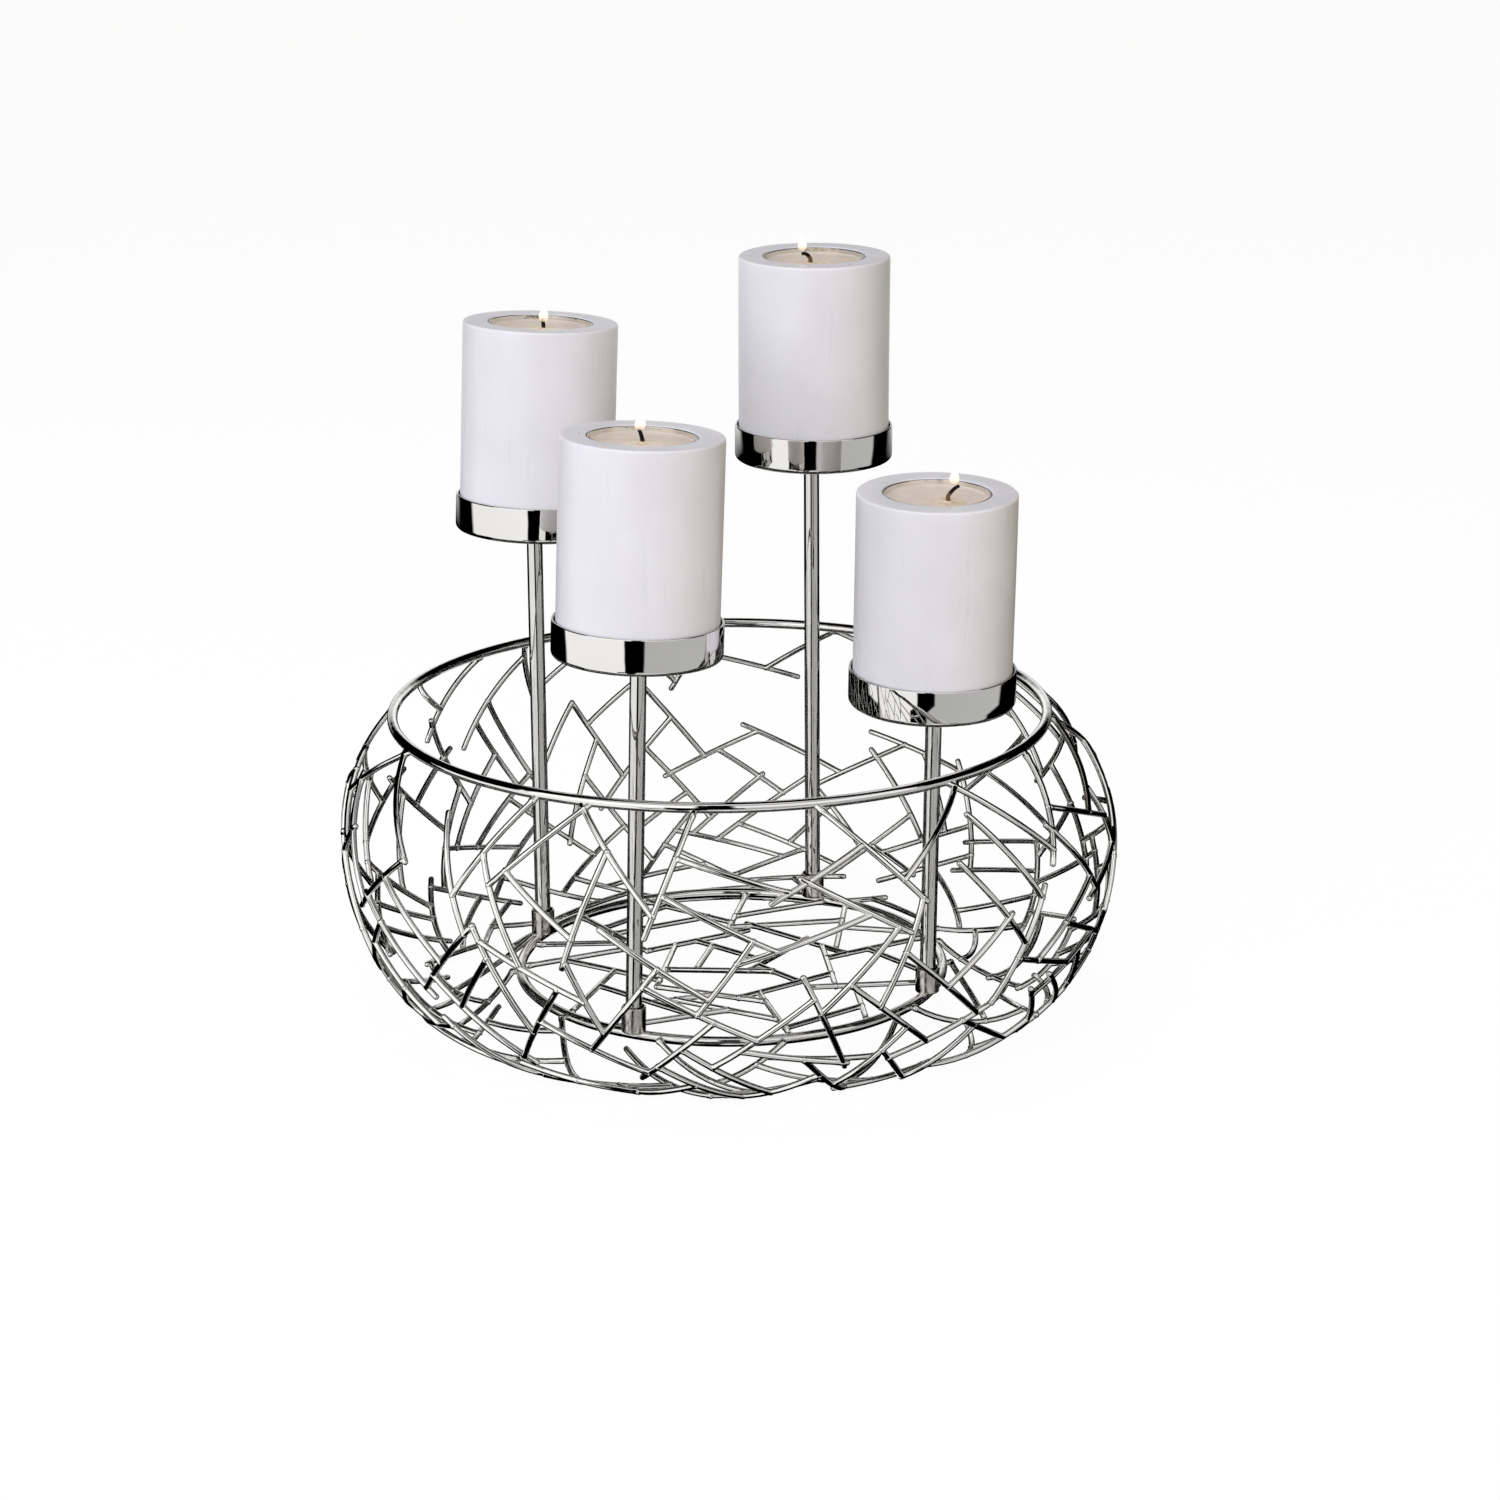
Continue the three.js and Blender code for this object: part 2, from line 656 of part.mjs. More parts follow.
function tinGeometry() {
  const inner = TIN.radius - TIN.wall;
  return turned([[0, 0], [TIN.radius, 0], [TIN.radius, TIN.height], [inner, TIN.height],
    [inner, TIN.floor], [0, TIN.floor]], TIN.sides);
}

function fillGeometry(wickAt) {
  const radius = TIN.radius - TIN.wall - GAP;
  const { depth, hole, holeDepth, holeSides } = FILL;
  const block = turned([[0, 0], [radius, 0], [radius, depth], [0, depth]], TIN.sides);
  const bore = new THREE.CylinderGeometry(hole, hole, 2 * holeDepth, holeSides)
    .rotateX(Math.PI / 2).translate(wickAt[0], wickAt[1], depth);
  return toGeometry(toSolid(block).subtract(toSolid(bore)));
}

function wickGeometry(bend) {
  const rise = FILL.holeDepth - GAP;
  const points = [new THREE.Vector3(0, 0, 0), new THREE.Vector3(0, 0, rise)];
  for (const [x, z] of bend) points.push(new THREE.Vector3(x, 0, rise + z));
  return sweep(new THREE.CatmullRomCurve3(points), WICK.radius, WICK.sides, WICK.steps);
}

function addHolder(parent, index) {
  const { azimuth, lip, lean, tip, aside, wickAt, wick } = HOLDERS[index];
  const holder = new THREE.Group();
  const foot = azimuth * DEG;
  holder.position.set(BASE.radius * Math.sin(foot), -BASE.radius * Math.cos(foot), BASE.height);
  holder.rotation.set(lean[0] * DEG, lean[1] * DEG, 0, 'XYZ');
  parent.add(holder);
  const cupBottom = lip - BASE.height - CUP.height;
  addPiece(holder, numbered('socket', index), socketGeometry(), METAL);
  const stemTop = cupBottom - GAP - Math.hypot(...tip) * CUP_TIP_ROOM;
  addPiece(holder, numbered('stem', index), stemGeometry(stemTop), METAL);
  const cup = new THREE.Group();
  cup.position.set(aside, 0, cupBottom);
  cup.rotation.set(tip[0] * DEG, tip[1] * DEG, 0, 'XYZ');
  holder.add(cup);
  addPiece(cup, numbered('cup', index), cupGeometry(), METAL);
  const candleBottom = CUP.floor + GAP;
  addPiece(cup, numbered('candle', index), candleGeometry(), WAX).position.z = candleBottom;
  const tinBottom = candleBottom + CANDLE.height - CANDLE.depth + GAP;
  addPiece(cup, numbered('tealight_tin', index), tinGeometry(), TIN_METAL).position.z = tinBottom;
  const fillBottom = tinBottom + TIN.floor + GAP;
  addPiece(cup, numbered('tealight_wax', index), fillGeometry(wickAt), TEALIGHT_WAX).position.z = fillBottom;
  const wickBottom = fillBottom + FILL.depth - FILL.holeDepth + GAP;
  addPiece(cup, numbered('wick', index), wickGeometry(wick), CHARRED)
    .position.set(wickAt[0], wickAt[1], wickBottom);
}

function makeWreath() {
  const wreath = new THREE.Group();
  wreath.position.set(-MIDDLE.x, -MIDDLE.y, 0);
  addRing(wreath, 'rim_ring', RIM.radius, RIM.height, RIM.shift);
  addRing(wreath, 'base_ring', BASE.radius, BASE.height, 0);
  addNest(wreath);
  for (let k = 0; k < HOLDERS.length; k += 1) addHolder(wreath, k);
  return wreath;
}

export default makeWreath();
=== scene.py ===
"""Metal advent wreath for four candles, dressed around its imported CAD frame.

A nest of short welded wires hangs between a rim ring and a base ring. Four stems stand
on the base ring, each with a cup, a pillar candle and a burning tealight in its top.
Sizes are in millimetres in the tables below and in metres on the meshes.
"""

import math

import bmesh
import bpy
from mathutils import Matrix, Vector


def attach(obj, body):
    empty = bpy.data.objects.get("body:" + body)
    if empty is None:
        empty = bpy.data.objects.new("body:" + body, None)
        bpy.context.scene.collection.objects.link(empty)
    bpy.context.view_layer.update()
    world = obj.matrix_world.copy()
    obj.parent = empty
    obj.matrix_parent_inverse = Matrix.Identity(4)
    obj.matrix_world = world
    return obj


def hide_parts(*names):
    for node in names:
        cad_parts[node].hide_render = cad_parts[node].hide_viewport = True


bl_info = {
    "name": "Metal advent wreath",
    "version": (1, 0, 0),
    "blender": (4, 5, 0),
    "location": "View3D > Sidebar > Wreath",
    "description": "Builds a welded wire advent wreath with four candles",
    "category": "Object",
}

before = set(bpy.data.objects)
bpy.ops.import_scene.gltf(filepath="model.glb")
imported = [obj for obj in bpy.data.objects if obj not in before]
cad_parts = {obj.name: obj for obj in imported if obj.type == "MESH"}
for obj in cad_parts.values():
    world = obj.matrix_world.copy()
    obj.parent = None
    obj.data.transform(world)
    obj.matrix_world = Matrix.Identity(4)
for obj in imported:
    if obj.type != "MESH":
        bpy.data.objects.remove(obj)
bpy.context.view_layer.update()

MM = 0.001
DEG = math.pi / 180
TURN = 2 * math.pi

# Middle of the wreath's box, measured from the middle of the base ring
MIDDLE = Vector((-0.743, -0.005, 0.0))

# Rings
RIM = {"radius": 126.2, "height": 115.7, "shift": -3.8}
BASE = {"radius": 83.3, "height": 10.0, "shift": 0.0}
RING_WIRE = 2.0

# Outline of the nest
WIDE = {"radius": 150.0, "height": 67.0}
SHOULDER_CENTRE = 80.0
LOW = {"radius": 108.0, "height": 0.85}

# Short wires and how they are laid, as in the CAD source. Lengths are in millimetres, slopes
# and turns in degrees, and the rest are shares
SEED = 143
DRAW = {"factor": 1664525, "step": 1013904223, "range": 4294967296}
WALL_WIRES = 235
FLOOR_WIRES = 34
WIRE_LENGTH = {"shortest": 24, "low": 42, "high": 50, "longest": 52}
OVERSHOOT = {"share": 0.18, "low": 2.5, "high": 6.0}
SLOPE = {"least": 12, "most": 70, "most_low": 46, "ease_from": 0.45, "ease_to": 0.8,
         "level_below": 0.75}
SPACING = 4.6
JOINT_REACH = 12
RING_REACH = 3.4
RING_CLEAR = 3.8
LEAST_SINE = {"ring": 0.42, "wire": 0.5}
TRIES = 140
MOST_MISSES = 14
REACH = 60
NEAR = {"across": 68, "along": 62}
TIP = {"share": 0.5, "turn_low": 40, "turn_high": 140, "along": 0.02, "room": 6.0, "past": 1.5}
SPOT_ROOM = 7.5
LOOSE = {"low": 0.1, "high": 0.9, "least": 5}
CROWD = {"checks": 14, "at_ring": 0.4}
CROSSING = {"slack": 0.02, "least_turn": 1e-9}
EMPTIEST = 26
WORTH = {"empty": 1.4, "low": 2.5, "held": 5}
FORK_AZIMUTHS = (-66, -22, 41, 84, 121, 158, 201, 249)
FORK = {"heading_low": 32, "heading_high": 52, "length_low": 46, "length_high": 50}
FIRST_FLOOR = {"turn": 20, "aside": 35, "length_low": 44, "length_high": 50}
SECTORS = 12
FLOOR_SECTORS = 4
WALL_SPLIT = 4
SORT_PASSES = 12

# Finer wires of the visual model
WIRE_FINE = 1.18
PATH_STEP = 4.5
WIRE_SIDES = 10
# Rounding of a wire's end: how far back from the tip, and the share of its thickness
WIRE_TIP = ((0.9, 1.0), (0.35, 0.84), (0.0, 0.45))
RING_RUN_IN = 2.6
BEAD = {"radius": 1.25, "at_ring": 1.4, "least": 0.92, "most": 1.16, "smallest": 0.01}
# Where a wire has points round a weld, the least room between two points, and its swell there
WELD_POINTS = (0.0, -0.8, 0.8, -1.7, 1.7, -3.0, 3.0)
POINT_ROOM = 0.6
SWELL = {"share": 0.22, "reach": 1.3}
EDGE_PLAY = 0.01
# Angles in degrees past which an edge shows as sharp
SHARP = {"wire": 50, "turned": 40, "bent": 60}

# Stems, cups and candles. Azimuths run from the front. The lean of a stem and the tip of
# its cup are about X and Y, in degrees, and aside is how far along X the cup sits off its
# stem. A wick stands at (x, y) on its tealight, bends through its points (x, z) and is soaked
# with wax up to a height. A flame's numbers are its middle (x, z) from the wick's foot, its
# width and its height
HOLDERS = (
    {"azimuth": -26.4, "lip": 170.2, "lean": (-0.96, 1.57), "tip": (-0.13, 0.7), "aside": -0.5,
     "wick_at": (0.1, -1.2), "soaked": 0.0,
     "wick": ((-0.5, 2.4), (-1.5, 5.1)), "flame": (-1.0, 7.4, 4.0, 6.2)},
    {"azimuth": 64.8, "lip": 141.7, "lean": (0.75, 0.71), "tip": (1.36, 0.07), "aside": -0.9,
     "wick_at": (3.9, -4.5), "soaked": 2.6,
     "wick": ((-0.3, 1.6), (0.4, 3.1), (2.1, 5.0), (3.8, 6.0)), "flame": (1.9, 9.5, 3.7, 6.0)},
    {"azimuth": 155.9, "lip": 211.6, "lean": (0.4, -0.14), "tip": (0.54, 0.41), "aside": 0.8,
     "wick_at": (-1.8, -5.0), "soaked": 2.0,
     "wick": ((0.1, 1.6), (-0.7, 3.0), (-2.0, 3.9), (-3.4, 3.8)), "flame": (-3.1, 7.9, 3.6, 6.0)},
    {"azimuth": 246.2, "lip": 192.3, "lean": (-0.85, 0.08), "tip": (-0.77, 2.38), "aside": 0.8,
     "wick_at": (1.3, -2.6), "soaked": 0.0,
     "wick": ((-0.1, 1.9), (-0.5, 3.9)), "flame": (-0.1, 5.8, 3.7, 6.6)},
)
GAP = 0.3
SOCKET = {"radius": 4.65, "bore": 3.9, "foot": 11.2, "seat": 14.0, "mouth": 21.2,
          "weld": 0.5, "lip": 0.45, "corner": 0.3}
STEM = {"radius": 3.1, "play": 0.1, "ease": 0.3, "weld": 1.6, "spread": 1.0, "parts": 12, "bends": 6}
CUP = {"radius": 31.5, "height": 13.8, "wall": 0.9, "floor": 1.0, "edge": 2.0, "lip": 0.42}
CANDLE = {"radius": 30.0, "height": 80.0, "foot": 1.5, "edge": 0.9, "recess": 20.3, "depth": 16.5,
          "mouth": 0.5, "corner": 0.6, "longest": 9.0}
TIN = {"radius": 19.9, "wall": 0.6, "height": 15.9, "floor": 0.6, "edge": 0.8, "lip": 0.28,
       "corner": 0.5}
FILL = {"depth": 12.9, "hole_depth": 3.0, "play": 0.05, "rim": 0.5, "climb": 0.6, "fade": 0.8}
WICK = {"radius": 0.85, "taper": 0.3, "wave": 0.06, "twist": 2.4, "bends": 7,
        "char": 1.5, "rough": (0.4, 0.9)}

# Waves in a candle's side, and how far from its recess they start
UNEVEN = {"depth": 0.06, "turns": 3, "rise": 0.06, "clear": 1}
# The molten pool: how the wax climbs the wick and dips round it, how far from the wick the
# pool and its painted glow of the flame's light end, and the roughness of the hard and of the molten
# wax
POOL = {"drawn": 0.9, "fade": 0.7, "dip": 0.35, "reach": 8.0, "steps": 44, "edge": (5.0, 9.0),
        "rough": (0.42, 0.12)}
# A flame: powers that say how low it is widest and how plump it is, the share of its height
# that its warm root takes, and how clear it is at the root and above
FLAME = {"parts": 16, "low": 0.65, "plump": 0.9, "root": 0.45, "clear": (0.0, 0.4, 0.7, 0.1)}
# Faces round each turned piece or tube
STEPS = {"socket": 40, "stem": 40, "cup": 160, "candle": 160, "tin": 128, "wax": 96, "wick": 14,
         "flame": 20}

# The photograph's camera: place, lens and sensor in millimetres, angles in degrees
CAMERA = {"place": (0.0, -1268.67, 487.87), "yaw": 0.3505, "pitch": 17.078, "roll": -0.3475,
          "lens": 81.98, "sensor": 36.0}


# Laying the wires

def make_draw(seed):
    """Repeatable random numbers, the same as in the CAD source."""
    state = seed

    def draw(low, high):
        nonlocal state
        state = (state * DRAW["factor"] + DRAW["step"]) % DRAW["range"]
        return low + (high - low) * (state / DRAW["range"])

    return draw


def near_turn(angle):
    return angle - TURN * math.floor(angle / TURN + 0.5)


def make_outline():
    """Points of the nest's outline, from the rim ring to the base ring."""
    points = []
    upper, lower, inner = 14, 22, 8
    reach = WIDE["radius"] - SHOULDER_CENTRE
    part = (RIM["radius"] - SHOULDER_CENTRE) / reach
    rise = (RIM["height"] - WIDE["height"]) / math.sqrt(1 - part * part)
    start = math.acos(part)
    for i in range(upper):
        turn = start * (1 - i / upper)
        points.append((SHOULDER_CENTRE + reach * math.cos(turn),
                       WIDE["height"] + rise * math.sin(turn)))
    for i in range(lower):
        turn = math.pi / 2 * i / lower
        points.append((LOW["radius"] + (WIDE["radius"] - LOW["radius"]) * math.cos(turn),
                       WIDE["height"] - (WIDE["height"] - LOW["height"]) * math.sin(turn)))
    run = LOW["radius"] - BASE["radius"] - RING_REACH
    climb = BASE["height"] - LOW["height"]
    bend = (run * run + climb * climb) / (2 * climb)
    arc = math.asin(run / bend)
    for i in range(inner + 1):
        turn = arc * i / inner
        points.append((LOW["radius"] - bend * math.sin(turn),
                       LOW["height"] + bend * (1 - math.cos(turn))))
    marks = [0.0]
    for (r0, z0), (r1, z1) in zip(points, points[1:]):
        marks.append(marks[-1] + math.hypot(r1 - r0, z1 - z0))
    return points, marks, marks[upper]


OUTLINE, MARKS, WIDEST = make_outline()
END = MARKS[-1]


def outline_at(distance):
    """Radius and height of the outline at a distance along it from the rim."""
    s = min(max(distance, 0.0), END)
    k = 1
    while MARKS[k] < s:
        k += 1
    f = (s - MARKS[k - 1]) / (MARKS[k] - MARKS[k - 1])
    r0, z0 = OUTLINE[k - 1]
    r1, z1 = OUTLINE[k]
    return r0 + f * (r1 - r0), z0 + f * (z1 - z0)


class Wall:
    """The wall, rolled out: u is the angle from the front, v the distance from the rim."""

    @staticmethod
    def scale(v):
        return outline_at(v)[0]

    @staticmethod
    def across(u):
        return near_turn(u)

    @staticmethod
    def place(u, v):
        r, z = outline_at(v)
        lean = RIM["shift"] * (max(z, 0) / RIM["height"]) ** 3
        return Vector((r * math.sin(u) + lean, -r * math.cos(u), z))

    @staticmethod
    def spot(draw):
        u = draw(0, TURN)
        v = draw(0, END)
        return None if draw(0, 1) > outline_at(v)[0] / WIDE["radius"] else (u, v)

    @staticmethod
    def margin(u, v):
        return min(v - RING_REACH, END - v)

    @staticmethod
    def depth(v):
        return v / END

    @staticmethod
    def edge(u, v, cu, cv):
        return (RING_REACH - v) / cv if cv < 0 else (END - v) / cv

    @staticmethod
    def square(u, v, cu, cv):
        return abs(cv)


class Floor:
    """The floor inside the base ring: u and v are its own x and y."""

    radius = BASE["radius"] - RING_REACH

    @staticmethod
    def scale(v):
        return 1.0

    @staticmethod
    def across(u):
        return u

    @staticmethod
    def place(u, v):
        return Vector((u, v, BASE["height"]))

    @classmethod
    def spot(cls, draw):
        u = draw(-cls.radius, cls.radius)
        v = draw(-cls.radius, cls.radius)
        return None if math.hypot(u, v) > cls.radius else (u, v)

    @classmethod
    def margin(cls, u, v):
        return cls.radius - math.hypot(u, v)

    @staticmethod
    def depth(v):
        return 0.0

    @classmethod
    def edge(cls, u, v, cu, cv):
        b = u * cu + v * cv
        return -b + math.sqrt(b * b - u * u - v * v + cls.radius * cls.radius)

    @staticmethod
    def square(u, v, cu, cv):
        return abs(u * cu + v * cv) / math.hypot(u, v)


class Wire:
    """A straight line on a chart, with what each end meets and how far it runs past it."""

    def __init__(self, chart, start, stop, ends, past):
        self.chart, self.start, self.stop = chart, start, stop
        self.ends, self.past = list(ends), list(past)
        self.scale = chart.scale((start[1] + stop[1]) / 2)
        self.ex = (stop[0] - start[0]) * self.scale
        self.ey = stop[1] - start[1]
        self.ee = self.ex * self.ex + self.ey * self.ey
        self.length = math.hypot(self.ex, self.ey)
        self.middle = self.along(0.5)

    def along(self, f):
        return (self.start[0] + f * (self.stop[0] - self.start[0]),
                self.start[1] + f * (self.stop[1] - self.start[1]))

    def distance(self, u, v):
        px = self.chart.across(u - self.start[0]) * self.scale
        py = v - self.start[1]
        f = min(max((px * self.ex + py * self.ey) / self.ee, 0.0), 1.0)
        return math.hypot(px - f * self.ex, py - f * self.ey)

    def crossing(self, u, v, cu, cv, scale):
        """How far along a heading this wire is crossed, or None."""
        px = self.chart.across(self.start[0] - u) * scale
        py = self.start[1] - v
        ex = (self.stop[0] - self.start[0]) * scale
        turn = cu * self.ey - cv * ex
        if abs(turn) < CROSSING["least_turn"]:
            return None
        far = (px * self.ey - py * ex) / turn
        part = (px * cv - py * cu) / turn
        slack = CROSSING["slack"]
        return far if far > 0 and -slack < part < 1 + slack else None

    def sine(self, cu, cv):
        return abs(cu * self.ey - cv * self.ex) / self.length


def cast_ray(chart, near, u, v, cu, cv, scale):
    """The first thing met along a heading: a wire, the ring at the chart's edge, or nothing."""
    far, met = REACH, None
    edge = chart.edge(u, v, cu, cv)
    if edge < far:
        far, met = edge, "ring"
    for wire in near:
        hit = wire.crossing(u, v, cu, cv, scale)
        if hit is not None and hit < far:
            far, met = hit, wire
    return {"far": far, "met": met, "past": 0.0}


def propose_wire(chart, wires, tips, draw):
    """One wire that could be laid, through a loose tip or through any empty spot."""
    tip = None
    if tips and draw(0, 1) < TIP["share"]:
        tip = tips[math.floor(draw(0, len(tips)))]
        other, end = tip
        spot = other.along(TIP["along"] if end == 0 else 1 - TIP["along"])
        heading = math.atan2(other.ey, (other.stop[0] - other.start[0]) * chart.scale(spot[1]))
        heading += draw(TIP["turn_low"], TIP["turn_high"]) * DEG
    else:
        spot = chart.spot(draw)
        heading = draw(-90, 90) * DEG
        if spot is None:
            return None
    u, v = spot
    scale = chart.scale(v)
    cu, cv = math.cos(heading), math.sin(heading)
    if chart is Wall:
        depth = chart.depth(v)
        ease = (depth - SLOPE["ease_from"]) / (SLOPE["ease_to"] - SLOPE["ease_from"])
        most = SLOPE["most"] + min(max(ease, 0.0), 1.0) * (SLOPE["most_low"] - SLOPE["most"])
        too_steep = abs(cv) > math.sin(most * DEG)
        too_level = abs(cv) < math.sin(SLOPE["least"] * DEG) and depth < SLOPE["level_below"]
        if too_steep or too_level:
            return None
    near = [wire for wire in wires
            if abs(v - wire.middle[1]) < NEAR["along"]
            and (tip is None or wire is not tip[0])
            and abs(chart.across(u - wire.middle[0])) * scale < NEAR["across"]]
    room = TIP["room"] if tip else SPOT_ROOM
    empty = chart.margin(u, v)
    if empty < room:
        return None
    for wire in near:
        empty = min(empty, wire.distance(u, v))
        if empty < room:
            return None
    ahead = cast_ray(chart, near, u, v, cu, cv, scale)
    behind = cast_ray(chart, near, u, v, -cu, -cv, scale)
    reach = ahead["far"] + behind["far"]
    if reach < WIRE_LENGTH["shortest"]:
        return None
    if tip and min(ahead["far"], behind["far"]) < TIP["past"]:
        return None
    if reach > WIRE_LENGTH["longest"] and not shorten(ahead, behind, tip, draw):
        return None
    for side, sign in ((behind, -1), (ahead, 1)):
        if side["met"] == "ring":
            eu = u + sign * side["far"] * cu / scale
            ev = v + sign * side["far"] * cv
            if chart.square(eu, ev, cu, cv) < LEAST_SINE["ring"]:
                return None
        elif side["met"] is not None:
            if side["met"].sine(cu, cv) < LEAST_SINE["wire"]:
                return None
            if draw(0, 1) < OVERSHOOT["share"]:
                side["past"] = draw(OVERSHOOT["low"], OVERSHOOT["high"])
    held = sum(side["met"] is not None for side in (ahead, behind))
    welded = held - sum(side["met"] == "ring" for side in (ahead, behind))
    if not tip and welded == 0:
        return None
    back = behind["far"] + behind["past"]
    front = ahead["far"] + ahead["past"]
    start = (u - back * cu / scale, v - back * cv)
    stop = (u + front * cu / scale, v + front * cv)
    if crowded(chart, near, start, stop, ahead, behind, back + front):
        return None
    score = WORTH["empty"] * min(empty, EMPTIEST) * (1 + WORTH["low"] * chart.depth(v))
    score += WORTH["held"] * (held + (1 if tip else 0))
    wire = Wire(chart, start, stop, (behind["met"], ahead["met"]), (behind["past"], ahead["past"]))
    return score, tip, wire


def shorten(ahead, behind, tip, draw):
    """Cuts a wire that can't reach both ways, so that one end or both stay loose."""
    length = draw(WIRE_LENGTH["low"], WIRE_LENGTH["high"])
    if ahead["met"] is None and behind["met"] is None:
        if not tip:
            return False
        share = draw(LOOSE["low"], LOOSE["high"])
        ahead["far"] = length * share
        behind["far"] = length * (1 - share)
        return True
    ahead_holds = behind["met"] is None or (ahead["met"] is not None and ahead["far"] < behind["far"])
    held, loose = (ahead, behind) if ahead_holds else (behind, ahead)
    if held["far"] > length - LOOSE["least"]:
        return False
    loose["far"] = length - held["far"]
    loose["met"] = None
    return True


def crowded(chart, near, start, stop, ahead, behind, whole):
    """True where a new wire would pass too close to another one or to a ring."""
    near_end, near_start = 1 - CROWD["at_ring"], CROWD["at_ring"]
    for i in range(CROWD["checks"] + 1):
        f = i / CROWD["checks"]
        x = f * whole
        pu = start[0] + f * (stop[0] - start[0])
        pv = start[1] + f * (stop[1] - start[1])
        for wire in near:
            at_joint = ((wire is ahead["met"] and x > whole - ahead["past"] - JOINT_REACH)
                        or (wire is behind["met"] and x < behind["past"] + JOINT_REACH))
            if not at_joint and wire.distance(pu, pv) < SPACING:
                return True
        at_ring = ((ahead["met"] == "ring" and f > near_end)
                   or (behind["met"] == "ring" and f < near_start))
        if not at_ring and chart.margin(pu, pv) < RING_CLEAR:
            return True
    return False


def lay_wires(chart, wires, count, draw):
    """Lays wires one after another, each where it closes the emptiest cell of many tries."""
    misses = 0
    while len(wires) < count and misses < MOST_MISSES:
        tips = [(wire, end) for wire in wires for end in (0, 1) if wire.ends[end] is None]
        best = None
        for _ in range(TRIES):
            offer = propose_wire(chart, wires, tips, draw)
            if offer is not None and (best is None or offer[0] > best[0]):
                best = offer
        if best is None:
            misses += 1
            continue
        misses = 0
        _, tip, wire = best
        wires.append(wire)
        if tip:
            other, end = tip
            other.ends[end] = wire
            other.past[end] = TIP["along"] * other.length
    return wires


def lay_wall(draw):
    wires = []
    for azimuth in FORK_AZIMUTHS:
        for side in (-1, 1):
            heading = draw(FORK["heading_low"], FORK["heading_high"]) * DEG
            length = draw(FORK["length_low"], FORK["length_high"])
            scale = outline_at(RING_REACH + length / 2)[0]
            start = (azimuth * DEG, RING_REACH)
            turn = side * length * math.cos(heading) / scale
            stop = (start[0] + turn, RING_REACH + length * math.sin(heading))
            wires.append(Wire(Wall, start, stop, ("ring", None), (0.0, 0.0)))
    return lay_wires(Wall, wires, WALL_WIRES, draw)


def lay_floor(draw):
    wires = []
    for k in range(FLOOR_SECTORS):
        azimuth = k * TURN / FLOOR_SECTORS + draw(-FIRST_FLOOR["turn"], FIRST_FLOOR["turn"]) * DEG
        heading = azimuth + math.pi + draw(-FIRST_FLOOR["aside"], FIRST_FLOOR["aside"]) * DEG
        length = draw(FIRST_FLOOR["length_low"], FIRST_FLOOR["length_high"])
        start = (Floor.radius * math.cos(azimuth), Floor.radius * math.sin(azimuth))
        stop = (start[0] + length * math.cos(heading), start[1] + length * math.sin(heading))
        wires.append(Wire(Floor, start, stop, ("ring", None), (0.0, 0.0)))
    return lay_wires(Floor, wires, FLOOR_WIRES, draw)


def welded_groups(wires, homes, welds):
    seen = set()
    groups = []
    for first in wires:
        if first in seen:
            continue
        seen.add(first)
        group = [first]
        for wire in group:
            for other in welds[wire]:
                if other not in seen and homes[other] == homes[first]:
                    seen.add(other)
                    group.append(other)
        groups.append(group)
    return groups


def sort_into_bunches(wires, forks, home_of):
    """Bunches by where a wire's middle lies, with strays moved to what they are welded to."""
    homes = {wire: home_of(wire) for wire in wires}
    welds = {wire: [] for wire in wires}
    pairs = [(wire, met) for wire in wires for met in wire.ends if isinstance(met, Wire)]
    pairs += [(wires[2 * k], wires[2 * k + 1]) for k in range(forks)]
    for a, b in pairs:
        welds[a].append(b)
        welds[b].append(a)
    for _ in range(SORT_PASSES):
        groups = welded_groups(wires, homes, welds)
        strays = [group for group in groups if any(
            homes[other[0]] == homes[group[0]] and len(other) > len(group) for other in groups)]
        if not strays:
            break
        for stray in strays:
            pull = {}
            for wire in stray:
                for other in welds[wire]:
                    home = homes[other]
                    if home != homes[stray[0]]:
                        pull[home] = pull.get(home, 0) + 1
            target = max(pull, key=pull.get) if pull else None
            for wire in stray:
                homes[wire] = target
    bunches = {}
    for group in welded_groups(wires, homes, welds):
        home = homes[group[0]]
        if home is not None and (home not in bunches or len(group) > len(bunches[home])):
            bunches[home] = group
    return bunches


def round_half_up(value):
    return math.floor(value + 0.5)


def lay_nest():
    """The bunches of wires, by the name of the CAD node that each one stands for."""
    draw = make_draw(SEED)
    wall = lay_wall(draw)
    floor = lay_floor(draw)
    fork_legs = set(wall[:2 * len(FORK_AZIMUTHS)])

    def wall_home(wire):
        u, v = wire.along(0.0) if wire in fork_legs else wire.middle
        turn = near_turn(u - FORK_AZIMUTHS[1] * DEG) / (TURN / SECTORS)
        place = (round_half_up(turn) + SECTORS) % SECTORS
        return ("wall_top" if v < WIDEST + WALL_SPLIT else "wall_bottom", place)

    def floor_home(wire):
        u, v = wire.middle
        place = round_half_up(math.atan2(v, u) / (TURN / FLOOR_SECTORS)) + FLOOR_SECTORS
        return ("floor", place % FLOOR_SECTORS)

    bunches = sort_into_bunches(wall, len(FORK_AZIMUTHS), wall_home)
    bunches.update(sort_into_bunches(floor, 0, floor_home))
    return {f"{kind}_{place + 1:02d}": bunch for (kind, place), bunch in bunches.items()}


# Node trees and materials

# The attribute that gives a material its place on a piece
MARK = "mark"
# The part of a noise's range that counts as all of it
NOISE_SPAN = {"streaks": (0.3, 0.7), "mottle": (0.32, 0.68)}


def grey(value):
    return (value, value, value, 1)


def shaded(colour, share=1.0):
    """A colour for a node, dimmed or brightened by a share."""
    return tuple(c * share for c in colour[:3]) + (1,)


